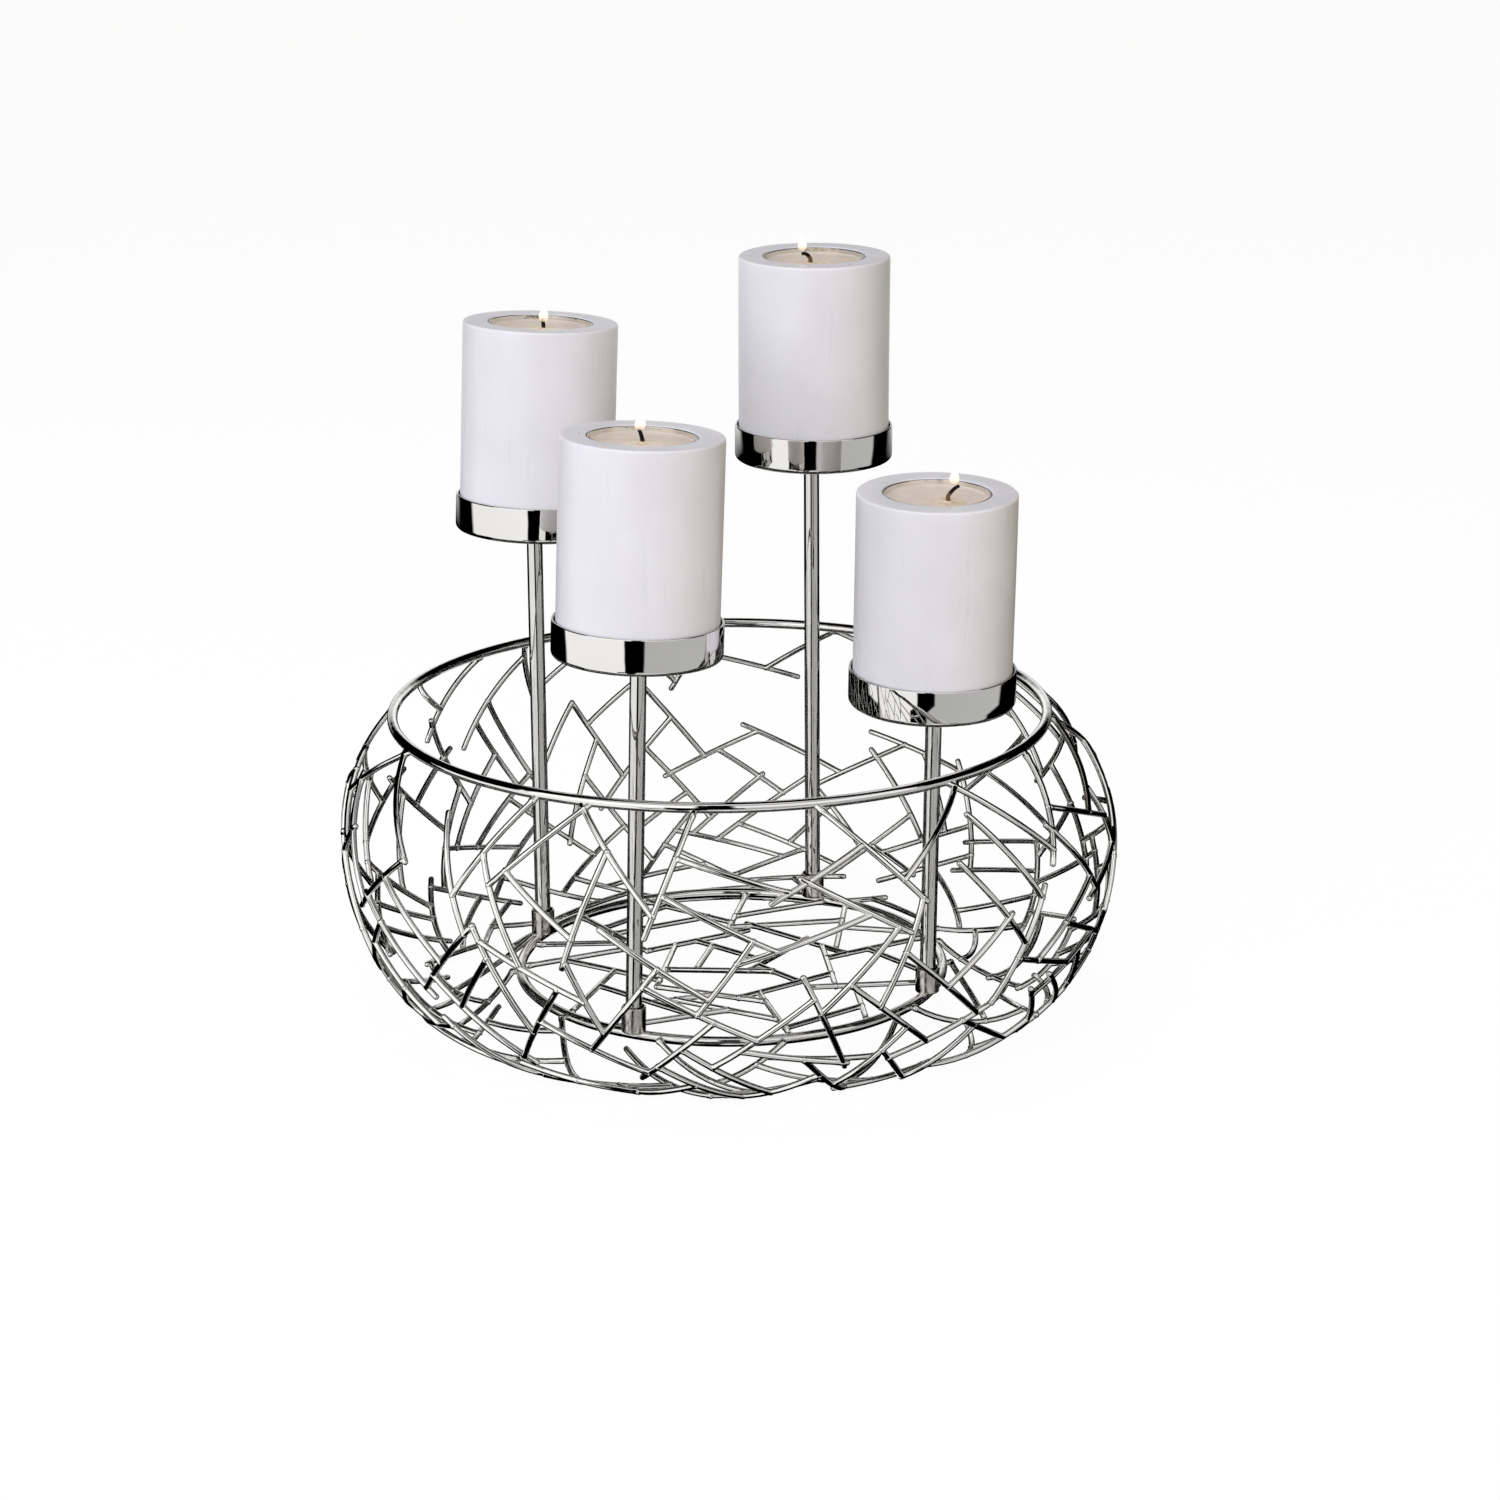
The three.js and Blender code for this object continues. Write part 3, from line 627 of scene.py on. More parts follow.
class Tree:
    """Builds a shader or geometry node tree, one linked node at a time."""

    def __init__(self, tree):
        self.tree = tree

    def add(self, kind, inputs=None, **settings):
        node = self.tree.nodes.new(kind)
        for name, value in settings.items():
            setattr(node, name, value)
        for name, value in (inputs or {}).items():
            if isinstance(value, bpy.types.NodeSocket):
                self.tree.links.new(value, node.inputs[name])
            else:
                node.inputs[name].default_value = value
        return node

    def math(self, operation, *values):
        return self.add("ShaderNodeMath", dict(enumerate(values)), operation=operation).outputs[0]

    def vector_math(self, operation, *values):
        return self.add("ShaderNodeVectorMath", dict(enumerate(values)), operation=operation).outputs

    def spread(self, value, from_low, from_high, to_low, to_high):
        """A value moved from one range into another, and held inside it."""
        return self.add("ShaderNodeMapRange", {
            "Value": value, "From Min": from_low, "From Max": from_high,
            "To Min": to_low, "To Max": to_high,
        }).outputs["Result"]

    def share(self, value, low, high):
        """How far a value has come from low to high, from 0 to 1."""
        return self.spread(value, low, high, 0.0, 1.0)

    def between(self, share, first, second):
        """A value between two others, by a share from 0 to 1."""
        return self.spread(share, 0.0, 1.0, first, second)

    def mix(self, factor, first, second):
        """A colour between two colours."""
        node = self.add("ShaderNodeMix", {0: factor, 6: first, 7: second}, data_type="RGBA")
        return node.outputs[2]

    def ramp(self, value, stops):
        """A brightness read from stops of (position, brightness)."""
        node = self.add("ShaderNodeValToRGB", {"Fac": value})
        elements = node.color_ramp.elements
        while len(elements) < len(stops):
            elements.new(0.5)
        for element, (position, bright) in zip(elements, stops):
            element.position = position
            element.color = grey(bright)
        return node.outputs["Color"]

    def noise(self, vector, scale, detail, roughness=0.5):
        return self.add("ShaderNodeTexNoise", {
            "Vector": vector, "Scale": scale, "Detail": detail, "Roughness": roughness}).outputs["Fac"]

    def bump(self, height, depth, under=None):
        """A surface normal raised by a height, over the normal of a coarser bump."""
        inputs = {"Strength": 1.0, "Distance": depth, "Height": height}
        if under is not None:
            inputs["Normal"] = under
        return self.add("ShaderNodeBump", inputs).outputs["Normal"]

    def mark(self):
        """The value that a piece carries at each of its points."""
        return self.add("ShaderNodeAttribute", attribute_name=MARK).outputs["Fac"]

    def place(self):
        return self.add("ShaderNodeTexCoord").outputs["Object"]

    def group(self, group, **inputs):
        return self.add("ShaderNodeGroup", inputs, node_tree=group).outputs


def declare(tree, direction, sockets):
    for name, kind, default in sockets:
        socket = tree.interface.new_socket(name=name, in_out=direction, socket_type=kind)
        if default is not None:
            socket.default_value = default


def shader_group(name, inputs, outputs, fill):
    """A shader node group, built once under its name. fill gives what comes out of it."""
    group = bpy.data.node_groups.get(name)
    if group is None:
        group = bpy.data.node_groups.new(name, "ShaderNodeTree")
        declare(group, "INPUT", inputs)
        declare(group, "OUTPUT", [(output, kind, None) for output, kind in outputs])
        tree = Tree(group)
        tree.add("NodeGroupOutput", fill(tree, tree.add("NodeGroupInput").outputs))
    return group


def fill_streaks(tree, given):
    drawn_out = tree.add("ShaderNodeMapping", {"Vector": tree.place(), "Scale": given["Stretch"]})
    noise = tree.noise(drawn_out.outputs[0], given["Scale"], detail=4.0, roughness=0.6)
    part = tree.share(noise, *NOISE_SPAN["streaks"])
    least = tree.math("MULTIPLY", tree.math("SUBTRACT", 1.0, part), given["Least"])
    most = tree.math("MULTIPLY", part, given["Most"])
    return {"Value": tree.math("ADD", least, most), "Height": noise}


def streaks_group():
    """Polishing marks or other streaks: a value between two limits, and a height."""
    return shader_group("Streaks", [
        ("Scale", "NodeSocketFloat", 400.0), ("Stretch", "NodeSocketVector", (1.0, 1.0, 1.0)),
        ("Least", "NodeSocketFloat", 0.0), ("Most", "NodeSocketFloat", 1.0),
    ], [("Value", "NodeSocketFloat"), ("Height", "NodeSocketFloat")], fill_streaks)


def fill_mottle(tree, given):
    noise = tree.noise(tree.place(), given["Scale"], detail=3.0)
    part = tree.share(noise, *NOISE_SPAN["mottle"])
    return {"Colour": tree.mix(part, given["Dark"], given["Light"]), "Height": noise}


def mottle_group():
    """Soft blotches between two colours, with a height."""
    return shader_group("Mottle", [
        ("Scale", "NodeSocketFloat", 60.0), ("Dark", "NodeSocketColor", None),
        ("Light", "NodeSocketColor", None),
    ], [("Colour", "NodeSocketColor"), ("Height", "NodeSocketFloat")], fill_mottle)


def new_material(name):
    material = bpy.data.materials.new(name)
    material.use_nodes = True
    material.node_tree.nodes.clear()
    return material, Tree(material.node_tree)


def finish_material(tree, kind, inputs):
    """Ends a material in one shader of a kind."""
    shader = tree.add(kind, inputs)
    tree.add("ShaderNodeOutputMaterial", {"Surface": shader.outputs[0]})


# Finishes of the metal: its tone, the least and most roughness, the polish marks by scale,
# stretch and depth, and the waviness by scale and depth. Depths are in metres
FINISHES = {
    "Nickel wire": (1.07, (0.01, 0.03), (900.0, (1, 1, 1), 0.000002), (70.0, 0.0002)),
    "Nickel ring": (1.0, (0.02, 0.05), (700.0, (1, 1, 1), 0.000002), (45.0, 0.0004)),
    "Drawn stem": (0.92, (0.01, 0.03), (900.0, (1, 1, 0.02), 0.000002), (40.0, 0.00014)),
    "Turned collar": (1.0, (0.12, 0.22), (900.0, (0.05, 0.05, 1), 0.00001), (60.0, 0.0003)),
    "Mirror cup": (1.0, (0.015, 0.045), (500.0, (0.2, 0.2, 1), 0.000004), (22.0, 0.0005)),
    "Pressed tin": (1.0, (0.06, 0.12), (800.0, (1, 1, 0.3), 0.000004), (120.0, 0.0003)),
}
# How bright the dark blotches of each surface are, as a share of its colour
BLOTCH = {"metal": 0.93, "wax": 0.95, "tealight": 0.9, "pool": 0.62}
COLLAR = (0.66, 0.63, 0.59)
CHAR = {"dark": grey(0.002), "light": (0.016, 0.012, 0.01, 1)}
SOAKED = (0.16, 0.08, 0.035, 1)
FLAME_ROOT = (1.0, 0.72, 0.45, 1)


def metal_material(finish, colour):
    """Bright metal, polished and slightly wavy."""
    tone, rough, marks, waves = FINISHES[finish]
    colour = shaded(colour, tone)
    material, tree = new_material(finish)
    polish = tree.group(streaks_group(), Scale=marks[0], Stretch=marks[1],
                        Least=rough[0], Most=rough[1])
    plate = tree.group(mottle_group(), Scale=waves[0],
                       Dark=shaded(colour, BLOTCH["metal"]), Light=colour)
    wavy = tree.bump(plate["Height"], waves[1])
    finish_material(tree, "ShaderNodeBsdfPrincipled", {
        "Base Color": plate["Colour"], "Metallic": 1.0, "Roughness": polish["Value"],
        "Normal": tree.bump(polish["Height"], marks[2], wavy)})
    return material


def wax_material(colour):
    """Smooth cast wax with faint upright streaks from the mould."""
    material, tree = new_material("Candle wax")
    tone = tree.group(mottle_group(), Scale=45.0,
                      Dark=shaded(colour, BLOTCH["wax"]), Light=shaded(colour))
    cast = tree.group(streaks_group(), Scale=260.0, Stretch=(1.0, 1.0, 0.06), Least=0.26, Most=0.4)
    finish_material(tree, "ShaderNodeBsdfPrincipled", {
        "Base Color": tone["Colour"], "Roughness": cast["Value"],
        "Normal": tree.bump(cast["Height"], 0.00004, tree.bump(tone["Height"], 0.0004)),
        "IOR": 1.44, "Subsurface Weight": 0.25, "Subsurface Radius": (1.0, 0.8, 0.6),
        "Subsurface Scale": 0.002})
    return material


def tealight_material(colour, pool):
    """Tealight wax. Round the wick it is glossier where molten, and painted paler and warmer there as a
    painted glow of the flame's light, with brown streaks in it.
    """
    material, tree = new_material("Tealight wax")
    tone = tree.group(mottle_group(), Scale=160.0,
                      Dark=shaded(colour, BLOTCH["tealight"]), Light=shaded(colour))
    streaks = tree.group(streaks_group(), Scale=700.0, Stretch=(1.0, 0.35, 1.0), Least=0.0, Most=1.0)
    stained = tree.mix(tree.math("POWER", streaks["Value"], 3.0),
                       shaded(pool), shaded(pool, BLOTCH["pool"]))
    # Near the wick the wax is glossier because it is molten, and its colour is painted paler and warmer
    # there: a painted glow of the flame's light
    molten_and_painted_glow = tree.spread(tree.mark(), *POOL["edge"], 1.0, 0.0)
    finish_material(tree, "ShaderNodeBsdfPrincipled", {
        "Base Color": tree.mix(molten_and_painted_glow, tone["Colour"], stained),
        "Roughness": tree.between(molten_and_painted_glow, *POOL["rough"]),
        "Normal": tree.bump(tone["Height"], 0.0003), "IOR": 1.44, "Subsurface Weight": 0.3,
        "Subsurface Radius": (1.0, 0.7, 0.45), "Subsurface Scale": 0.002})
    return material


def wick_material():
    """Charred cotton, brown where it is still soaked with wax."""
    material, tree = new_material("Charred wick")
    charred = tree.mark()
    tone = tree.group(mottle_group(), Scale=2500.0, Dark=CHAR["dark"], Light=CHAR["light"])
    finish_material(tree, "ShaderNodeBsdfPrincipled", {
        "Base Color": tree.mix(charred, SOAKED, tone["Colour"]),
        "Roughness": tree.between(charred, *WICK["rough"]),
        "Specular IOR Level": 0.15, "Normal": tree.bump(tone["Height"], 0.0002)})
    return material


def flame_material(colour, strength):
    """A small cream white flame, dimmer and clearer at its root."""
    material, tree = new_material("Flame")
    height = tree.mark()
    glow = tree.mix(tree.share(height, 0.0, FLAME["root"]), FLAME_ROOT, shaded(colour))
    light = tree.add("ShaderNodeEmission", {"Color": glow, "Strength": strength})
    clear = tree.add("ShaderNodeBsdfTransparent", {"Color": grey(1.0)})
    finish_material(tree, "ShaderNodeMixShader", {
        0: tree.spread(height, *FLAME["clear"]), 1: light.outputs[0], 2: clear.outputs[0]})
    return material


# Meshes

def mm(point):
    """A point in millimetres round the base ring, in metres in the part's frame."""
    return (Vector(point) - MIDDLE) * MM


def link_mesh(name, mesh):
    obj = bpy.data.objects.new(name, mesh)
    bpy.context.scene.collection.objects.link(obj)
    return obj


def smooth(mesh, sharp):
    mesh.polygons.foreach_set("use_smooth", [True] * len(mesh.polygons))
    mesh.set_sharp_from_angle(angle=sharp * DEG)


def finish_piece(obj, node):
    """Hands a piece to the frame: it rides on the body and stands for its CAD node."""
    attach(obj, "root")
    if node:
        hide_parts(node)


# The turn of a fillet's one step, in degrees
FILLET_STEP = 15


def rounded(corners):
    """An outline of (radius, height) points from (radius, height, fillet) corners."""
    points = []
    for i, (r, z, fillet) in enumerate(corners):
        if fillet == 0:
            points.append((r, z))
            continue
        here = Vector((r, z))
        before = (Vector(corners[i - 1][:2]) - here).normalized()
        after = (Vector(corners[i + 1][:2]) - here).normalized()
        half = before.angle(after) / 2
        centre = here + (before + after).normalized() * fillet / math.sin(half)
        first = here + before * fillet / math.tan(half) - centre
        last = here + after * fillet / math.tan(half) - centre
        bend = first.angle(last)
        steps = max(2, math.ceil(bend / (FILLET_STEP * DEG)))
        for k in range(steps + 1):
            f = k / steps
            arm = (first * math.sin((1 - f) * bend) + last * math.sin(f * bend)) / math.sin(bend)
            points.append(tuple(centre + arm))
    return points


def turned(name, outline, place, material, steps, wobble=None, mark=None):
    """A closed turned piece from an outline of (radius, height) that starts and ends on the axis.
    wobble moves a point by its turn, radius and height, and mark gives its attribute."""
    shape = bmesh.new()
    marked = shape.verts.layers.float.new(MARK)
    rings = []
    for r, z in outline:
        ring = []
        for k in range(1 if r == 0 else steps):
            turn = TURN * k / steps
            dr, dz = wobble(turn, r, z) if wobble else (0.0, 0.0)
            vert = shape.verts.new(((r + dr) * math.cos(turn), (r + dr) * math.sin(turn), z + dz))
            vert[marked] = mark(vert.co) if mark else 0.0
            ring.append(vert)
        rings.append(ring)
    for low, high in zip(rings, rings[1:]):
        for k in range(steps):
            j = (k + 1) % steps
            if len(low) == 1:
                shape.faces.new((low[0], high[j], high[k]))
            elif len(high) == 1:
                shape.faces.new((low[k], low[j], high[0]))
            else:
                shape.faces.new((low[k], low[j], high[j], high[k]))
    return finish_shape(name, shape, place, material, SHARP["turned"])


def finish_shape(name, shape, place, material, sharp):
    bmesh.ops.recalc_face_normals(shape, faces=shape.faces)
    mesh = bpy.data.meshes.new(name)
    shape.to_mesh(mesh)
    shape.free()
    mesh.transform(place)
    mesh.transform(Matrix.Translation(-MIDDLE))
    mesh.transform(Matrix.Scale(MM, 4))
    mesh.materials.append(material)
    smooth(mesh, sharp)
    return link_mesh(name, mesh)


def tube(name, points, radii, marks, place, material, sides):
    """A closed round tube along points, with a radius and an attribute value at each."""
    shape = bmesh.new()
    marked = shape.verts.layers.float.new(MARK)
    rings = []
    side = Vector((0, 1, 0))
    for i, (point, radius) in enumerate(zip(points, radii)):
        ahead = points[min(i + 1, len(points) - 1)] - points[max(i - 1, 0)]
        across = side.cross(ahead).normalized()
        up = ahead.cross(across).normalized()
        ring = []
        for k in range(1 if radius == 0 else sides):
            turn = TURN * k / sides
            vert = shape.verts.new(point + radius * (across * math.cos(turn) + up * math.sin(turn)))
            vert[marked] = marks[i]
            ring.append(vert)
        rings.append(ring)
    for low, high in zip(rings, rings[1:]):
        for k in range(sides):
            j = (k + 1) % sides
            corners = [low[k % len(low)], low[j % len(low)], high[j % len(high)], high[k % len(high)]]
            shape.faces.new(dict.fromkeys(corners))
    for ring in (rings[0], rings[-1]):
        if len(ring) > 1:
            shape.faces.new(ring)
    return finish_shape(name, shape, place, material, SHARP["bent"])


# Geometry Nodes

def geometry_tree(name, inputs):
    tree = bpy.data.node_groups.new(name, "GeometryNodeTree")
    declare(tree, "INPUT", [("Geometry", "NodeSocketGeometry", None)] + inputs
            + [("Material", "NodeSocketMaterial", None)])
    declare(tree, "OUTPUT", [("Geometry", "NodeSocketGeometry", None)])
    build = Tree(tree)
    return build, build.add("NodeGroupInput").outputs


def end_tree(build, geometry, material):
    whole = build.add("GeometryNodeRealizeInstances", {"Geometry": geometry}).outputs[0]
    painted = build.add("GeometryNodeSetMaterial", {"Geometry": whole, "Material": material})
    build.add("NodeGroupOutput", {"Geometry": painted.outputs[0]})
    return build.tree


def named_attribute(build, name):
    node = build.add("GeometryNodeInputNamedAttribute", {"Name": name}, data_type="FLOAT")
    return node.outputs["Attribute"]


def circle(build, steps, radius):
    node = build.add("GeometryNodeCurvePrimitiveCircle", {"Resolution": steps, "Radius": radius})
    return node.outputs[0]


def wires_tree():
    """Round wires along chains of edges, and a weld bead at each loose point."""
    build, given = geometry_tree("Welded wires", [
        ("Wire radius", "NodeSocketFloat", 0.0011), ("Sides", "NodeSocketInt", 10),
        ("Bead radius", "NodeSocketFloat", 0.0014)])
    radius = build.math("MULTIPLY", named_attribute(build, "swell"), given["Wire radius"])
    chains = build.add("GeometryNodeMeshToCurve", {"Mesh": given["Geometry"]})
    wires = build.add("GeometryNodeCurveToMesh", {
        "Curve": chains.outputs[0], "Profile Curve": circle(build, given["Sides"], 1.0),
        "Scale": radius, "Fill Caps": True})
    bead = named_attribute(build, "bead")
    points = build.add("GeometryNodeMeshToPoints", {
        "Mesh": given["Geometry"], "Selection": build.math("GREATER_THAN", bead, BEAD["smallest"])})
    ball = build.add("GeometryNodeMeshIcoSphere", {"Radius": given["Bead radius"], "Subdivisions": 2})
    beads = build.add("GeometryNodeInstanceOnPoints", {
        "Points": points.outputs[0], "Instance": ball.outputs[0], "Scale": bead})
    joined = build.add("GeometryNodeJoinGeometry")
    for part in (beads.outputs[0], wires.outputs[0]):
        build.tree.links.new(part, joined.inputs[0])
    return end_tree(build, joined.outputs[0], given["Material"])


def ring_tree():
    """A closed round ring of wire, laid flat at a height."""
    build, given = geometry_tree("Wire ring", [
        ("Ring radius", "NodeSocketFloat", 0.1), ("Wire radius", "NodeSocketFloat", 0.002),
        ("Steps", "NodeSocketInt", 240), ("Sides", "NodeSocketInt", 20),
        ("Centre", "NodeSocketVector", (0.0, 0.0, 0.0))])
    ring = build.add("GeometryNodeCurveToMesh", {
        "Curve": circle(build, given["Steps"], given["Ring radius"]),
        "Profile Curve": circle(build, given["Sides"], given["Wire radius"])})
    placed = build.add("GeometryNodeTransform", {
        "Geometry": ring.outputs[0], "Translation": given["Centre"]})
    return end_tree(build, placed.outputs[0], given["Material"])


def grow(name, tree, source, values):
    """Runs a geometry tree on a mesh, and returns the result as a plain mesh object."""
    seed = link_mesh(name + "_seed", source)
    modifier = seed.modifiers.new("Shape", "NODES")
    modifier.node_group = tree
    sockets = {s.name: s.identifier for s in tree.interface.items_tree if s.in_out == "INPUT"}
    for socket, value in values.items():
        modifier[sockets[socket]] = value
    depsgraph = bpy.context.evaluated_depsgraph_get()
    mesh = bpy.data.meshes.new_from_object(seed.evaluated_get(depsgraph), depsgraph=depsgraph)
    mesh.name = name
    seed.modifiers.clear()
    bpy.data.objects.remove(seed)
    smooth(mesh, SHARP["wire"])
    return link_mesh(name, mesh)


# Nest

def place_on(chart, u, v, beyond):
    """A point on a chart, or past its edge on the way into the base ring."""
    point = chart.place(u, v)
    if beyond > 0:
        if chart is Wall:
            point -= Vector((math.sin(u), -math.cos(u), 0)) * beyond
        else:
            point += Vector((u, v, 0)).normalized() * beyond
    return point


def wire_path(wire):
    """Points along a wire with their swell towards each weld, and where its welds are."""
    cu, cv = wire.ex / wire.length, wire.ey / wire.length
    low, high = 0.0, wire.length
    joints = []
    for end, spot in enumerate((wire.start, wire.stop)):
        if wire.ends[end] == "ring":
            run = RING_RUN_IN / wire.chart.square(spot[0], spot[1], cu, cv)
            joints.append((0.0 if end == 0 else wire.length, "ring"))
            low, high = (-run, high) if end == 0 else (low, high + run)
        elif wire.ends[end] is not None:
            joints.append((wire.past[0] if end == 0 else wire.length - wire.past[1], "wire"))
    kept = {}
    for end, tip, inward in ((0, low, 1), (1, high, -1)):
        rounding = ((0.0, 1.0),) if wire.ends[end] == "ring" else WIRE_TIP
        kept.update({tip + inward * back: share for back, share in rounding})
    steps = max(2, round((high - low) / PATH_STEP))
    stations = [joint + reach for joint, _ in joints for reach in WELD_POINTS]
    stations += [low + (high - low) * i / steps for i in range(1, steps)]
    for s in stations:
        if low < s < high and min(abs(s - other) for other in kept) > POINT_ROOM:
            kept[s] = 1.0
    points, swells = [], []
    for s in sorted(kept):
        f = min(max(s / wire.length, 0.0), 1.0)
        beyond = max(-s, s - wire.length, 0.0)
        u, v = wire.along(f)
        if beyond and wire.chart is Wall and v < RING_REACH + EDGE_PLAY:
            sign = -1 if s < 0 else 1
            u += sign * beyond * cu / wire.scale
            v += sign * beyond * cv
            beyond = 0
        elif beyond:
            beyond *= wire.chart.square(u, v, cu, cv)
        points.append(place_on(wire.chart, u, v, beyond))
        swell = sum(SWELL["share"] * math.exp(-((s - joint) / SWELL["reach"]) ** 2)
                    for joint, _ in joints)
        swells.append(kept[s] * (1 + swell))
    return points, swells, joints


def bunch_mesh(name, bunch, draw):
    verts, edges, swells, beads = [], [], [], []
    for wire in bunch:
        points, swell, joints = wire_path(wire)
        first = len(verts)
        verts += [mm(p) for p in points]
        edges += [(first + i, first + i + 1) for i in range(len(points) - 1)]
        swells += swell
        beads += [0.0] * len(points)
        for joint, kind in joints:
            size = draw(BEAD["least"], BEAD["most"])
            if kind == "ring":
                size *= BEAD["at_ring"] / BEAD["radius"]
            u, v = wire.along(min(max(joint / wire.length, 0.0), 1.0))
            verts.append(mm(wire.chart.place(u, v)))
            swells.append(1.0)
            beads.append(size)
    mesh = bpy.data.meshes.new(name + "_paths")
    mesh.from_pydata(verts, edges, [])
    for attribute, values in (("swell", swells), ("bead", beads)):
        mesh.attributes.new(attribute, "FLOAT", "POINT").data.foreach_set("value", values)
    return mesh


def stand_on_table(mesh):
    """Flattens what would lie under the table top, as on the CAD wires."""
    for vert in mesh.vertices:
        vert.co.z = max(vert.co.z, 0.0)


# Sizes and colours that a user may change

def colour_setting(name, description, default):
    return bpy.props.FloatVectorProperty(
        name=name, description=description, default=default, subtype="COLOR", size=3, min=0, max=1)


def radius_setting(name, description, default):
    return bpy.props.FloatProperty(
        name=name, description=description, default=default * MM, unit="LENGTH", precision=4)


def power_setting(name, description, default):
    return bpy.props.FloatProperty(
        name=name, description=description, default=default, unit="POWER", min=0)


def level_setting(name, description, default):
    return bpy.props.FloatProperty(
        name=name, description=description, default=default, subtype="UNSIGNED", min=0)


class WreathMetalSettings(bpy.types.PropertyGroup):
    wire_radius: radius_setting("Wire radius", "Half the thickness of the short wires", WIRE_FINE)
    wire_sides: bpy.props.IntProperty(
        name="Wire sides", description="Faces round a short wire", default=WIRE_SIDES, min=6, max=24)
    bead_radius: radius_setting(
        "Weld bead radius", "Half the width of the bead where two wires meet", BEAD["radius"])
    ring_wire: radius_setting(
        "Ring wire radius", "Half the thickness of the rim and base rings", RING_WIRE)
    nickel: colour_setting("Nickel", "Colour of the plated metal", (0.87, 0.86, 0.84))


class WreathCandleSettings(bpy.types.PropertyGroup):
    wax: colour_setting("Candle wax", "Colour of the pillar candles", (0.80, 0.79, 0.82))
    tealight: colour_setting(
        "Tealight wax", "Colour of the tealight wax away from the flame", (0.86, 0.745, 0.65))
    # The molten pool's colour, painted paler and warmer than the wax as a painted glow of the flame's
    # light
    pool: colour_setting("Molten wax and painted flame glow", "Colour of the molten wax round the wick, painted paler and warmer by the flame's glow", (0.95, 0.78, 0.60))
    tin: colour_setting("Tin", "Colour of the tealight tins", (0.88, 0.85, 0.80))
    flame: colour_setting("Flame", "Colour of the flames", (1.0, 0.95, 0.87))
    glow: level_setting("Flame strength", "How brightly the flames shine", 1.15)


class WreathStageSettings(bpy.types.PropertyGroup):
    sky: level_setting("Soft light", "Strength of the even warm surroundings", 0.3)
    bounce: level_setting("Table light", "Strength of the light from the table", 0.3)
    key: power_setting("Key light", "Power of the soft light at the front left", 25.0)
    left: power_setting("Left light", "Power of the soft light at the left", 8.5)
    right: power_setting("Right light", "Power of the soft warm light at the right", 5.5)
    top: power_setting("Top light", "Power of the soft light overhead", 10.5)
    table: level_setting("Table white", "How white the table looks", 0.94)


# Stems, cups and candles

def holder_places(index):
    """Where a holder and its cup stand, as matrices in millimetres round the base ring."""
    kind = HOLDERS[index]
    foot = kind["azimuth"] * DEG
    holder = (Matrix.Translation((BASE["radius"] * math.sin(foot), -BASE["radius"] * math.cos(foot),
                                  BASE["height"]))
              @ Matrix.Rotation(kind["lean"][0] * DEG, 4, "X")
              @ Matrix.Rotation(kind["lean"][1] * DEG, 4, "Y"))
    bottom = kind["lip"] - BASE["height"] - CUP["height"]
    cup = (holder @ Matrix.Translation((kind["aside"], 0, bottom))
           @ Matrix.Rotation(kind["tip"][0] * DEG, 4, "X")
           @ Matrix.Rotation(kind["tip"][1] * DEG, 4, "Y"))
    return holder, cup, bottom


def numbered(name, index):
    return f"{name}_{index + 1:02d}"


def socket_outline():
    """A short collar, with its mouth eased and a weld round its foot on the ring."""
    foot, seat, mouth = (SOCKET[k] - BASE["height"] for k in ("foot", "seat", "mouth"))
    radius, bore, corner = SOCKET["radius"], SOCKET["bore"], SOCKET["corner"]
    return rounded([(0, foot, 0), (radius, foot, SOCKET["weld"]), (radius, mouth, SOCKET["lip"]),
                    (bore, mouth, corner), (bore, seat, corner), (0, seat, 0)])


def stem_outline(bottom):
    """A round rod, spread a little where it is welded under the cup."""
    radius, ease, parts, bends = STEM["radius"], STEM["ease"], STEM["parts"], STEM["bends"]
    foot = SOCKET["seat"] - BASE["height"] + STEM["play"]
    low = bottom - STEM["weld"]
    points = [(0, foot), (radius - ease, foot), (radius, foot + ease)]
    points += [(radius, foot + ease + (low - foot - ease) * i / parts) for i in range(1, parts + 1)]
    for i in range(1, bends + 1):
        turn = math.pi / 2 * i / bends
        points.append((radius + STEM["spread"] * (1 - math.cos(turn)),
                       low + STEM["weld"] * math.sin(turn)))
    return points + [(0, bottom)]


def cup_outline():
    radius, inner = CUP["radius"], CUP["radius"] - CUP["wall"]
    return rounded([(0, 0, 0), (radius, 0, CUP["edge"]), (radius, CUP["height"], CUP["lip"]),
                    (inner, CUP["height"], CUP["lip"]),
                    (inner, CUP["floor"], CUP["edge"] - CUP["wall"]), (0, CUP["floor"], 0)])


def candle_outline():
    radius, recess = CANDLE["radius"], CANDLE["recess"]
    height, floor = CANDLE["height"], CANDLE["height"] - CANDLE["depth"]
    points = rounded([(0, 0, 0), (radius, 0, CANDLE["foot"]), (radius, height, CANDLE["edge"]),
                      (recess, height, CANDLE["mouth"]), (recess, floor, CANDLE["corner"]),
                      (0, floor, 0)])
    return split_long(points, CANDLE["longest"])


def split_long(points, longest):
    """The same outline with long straight stretches cut into shorter ones."""
    out = [points[0]]
    for (r0, z0), (r1, z1) in zip(points, points[1:]):
        parts = max(1, math.ceil(math.hypot(r1 - r0, z1 - z0) / longest))
        out += [(r0 + (r1 - r0) * k / parts, z0 + (z1 - z0) * k / parts) for k in range(1, parts + 1)]
    return out


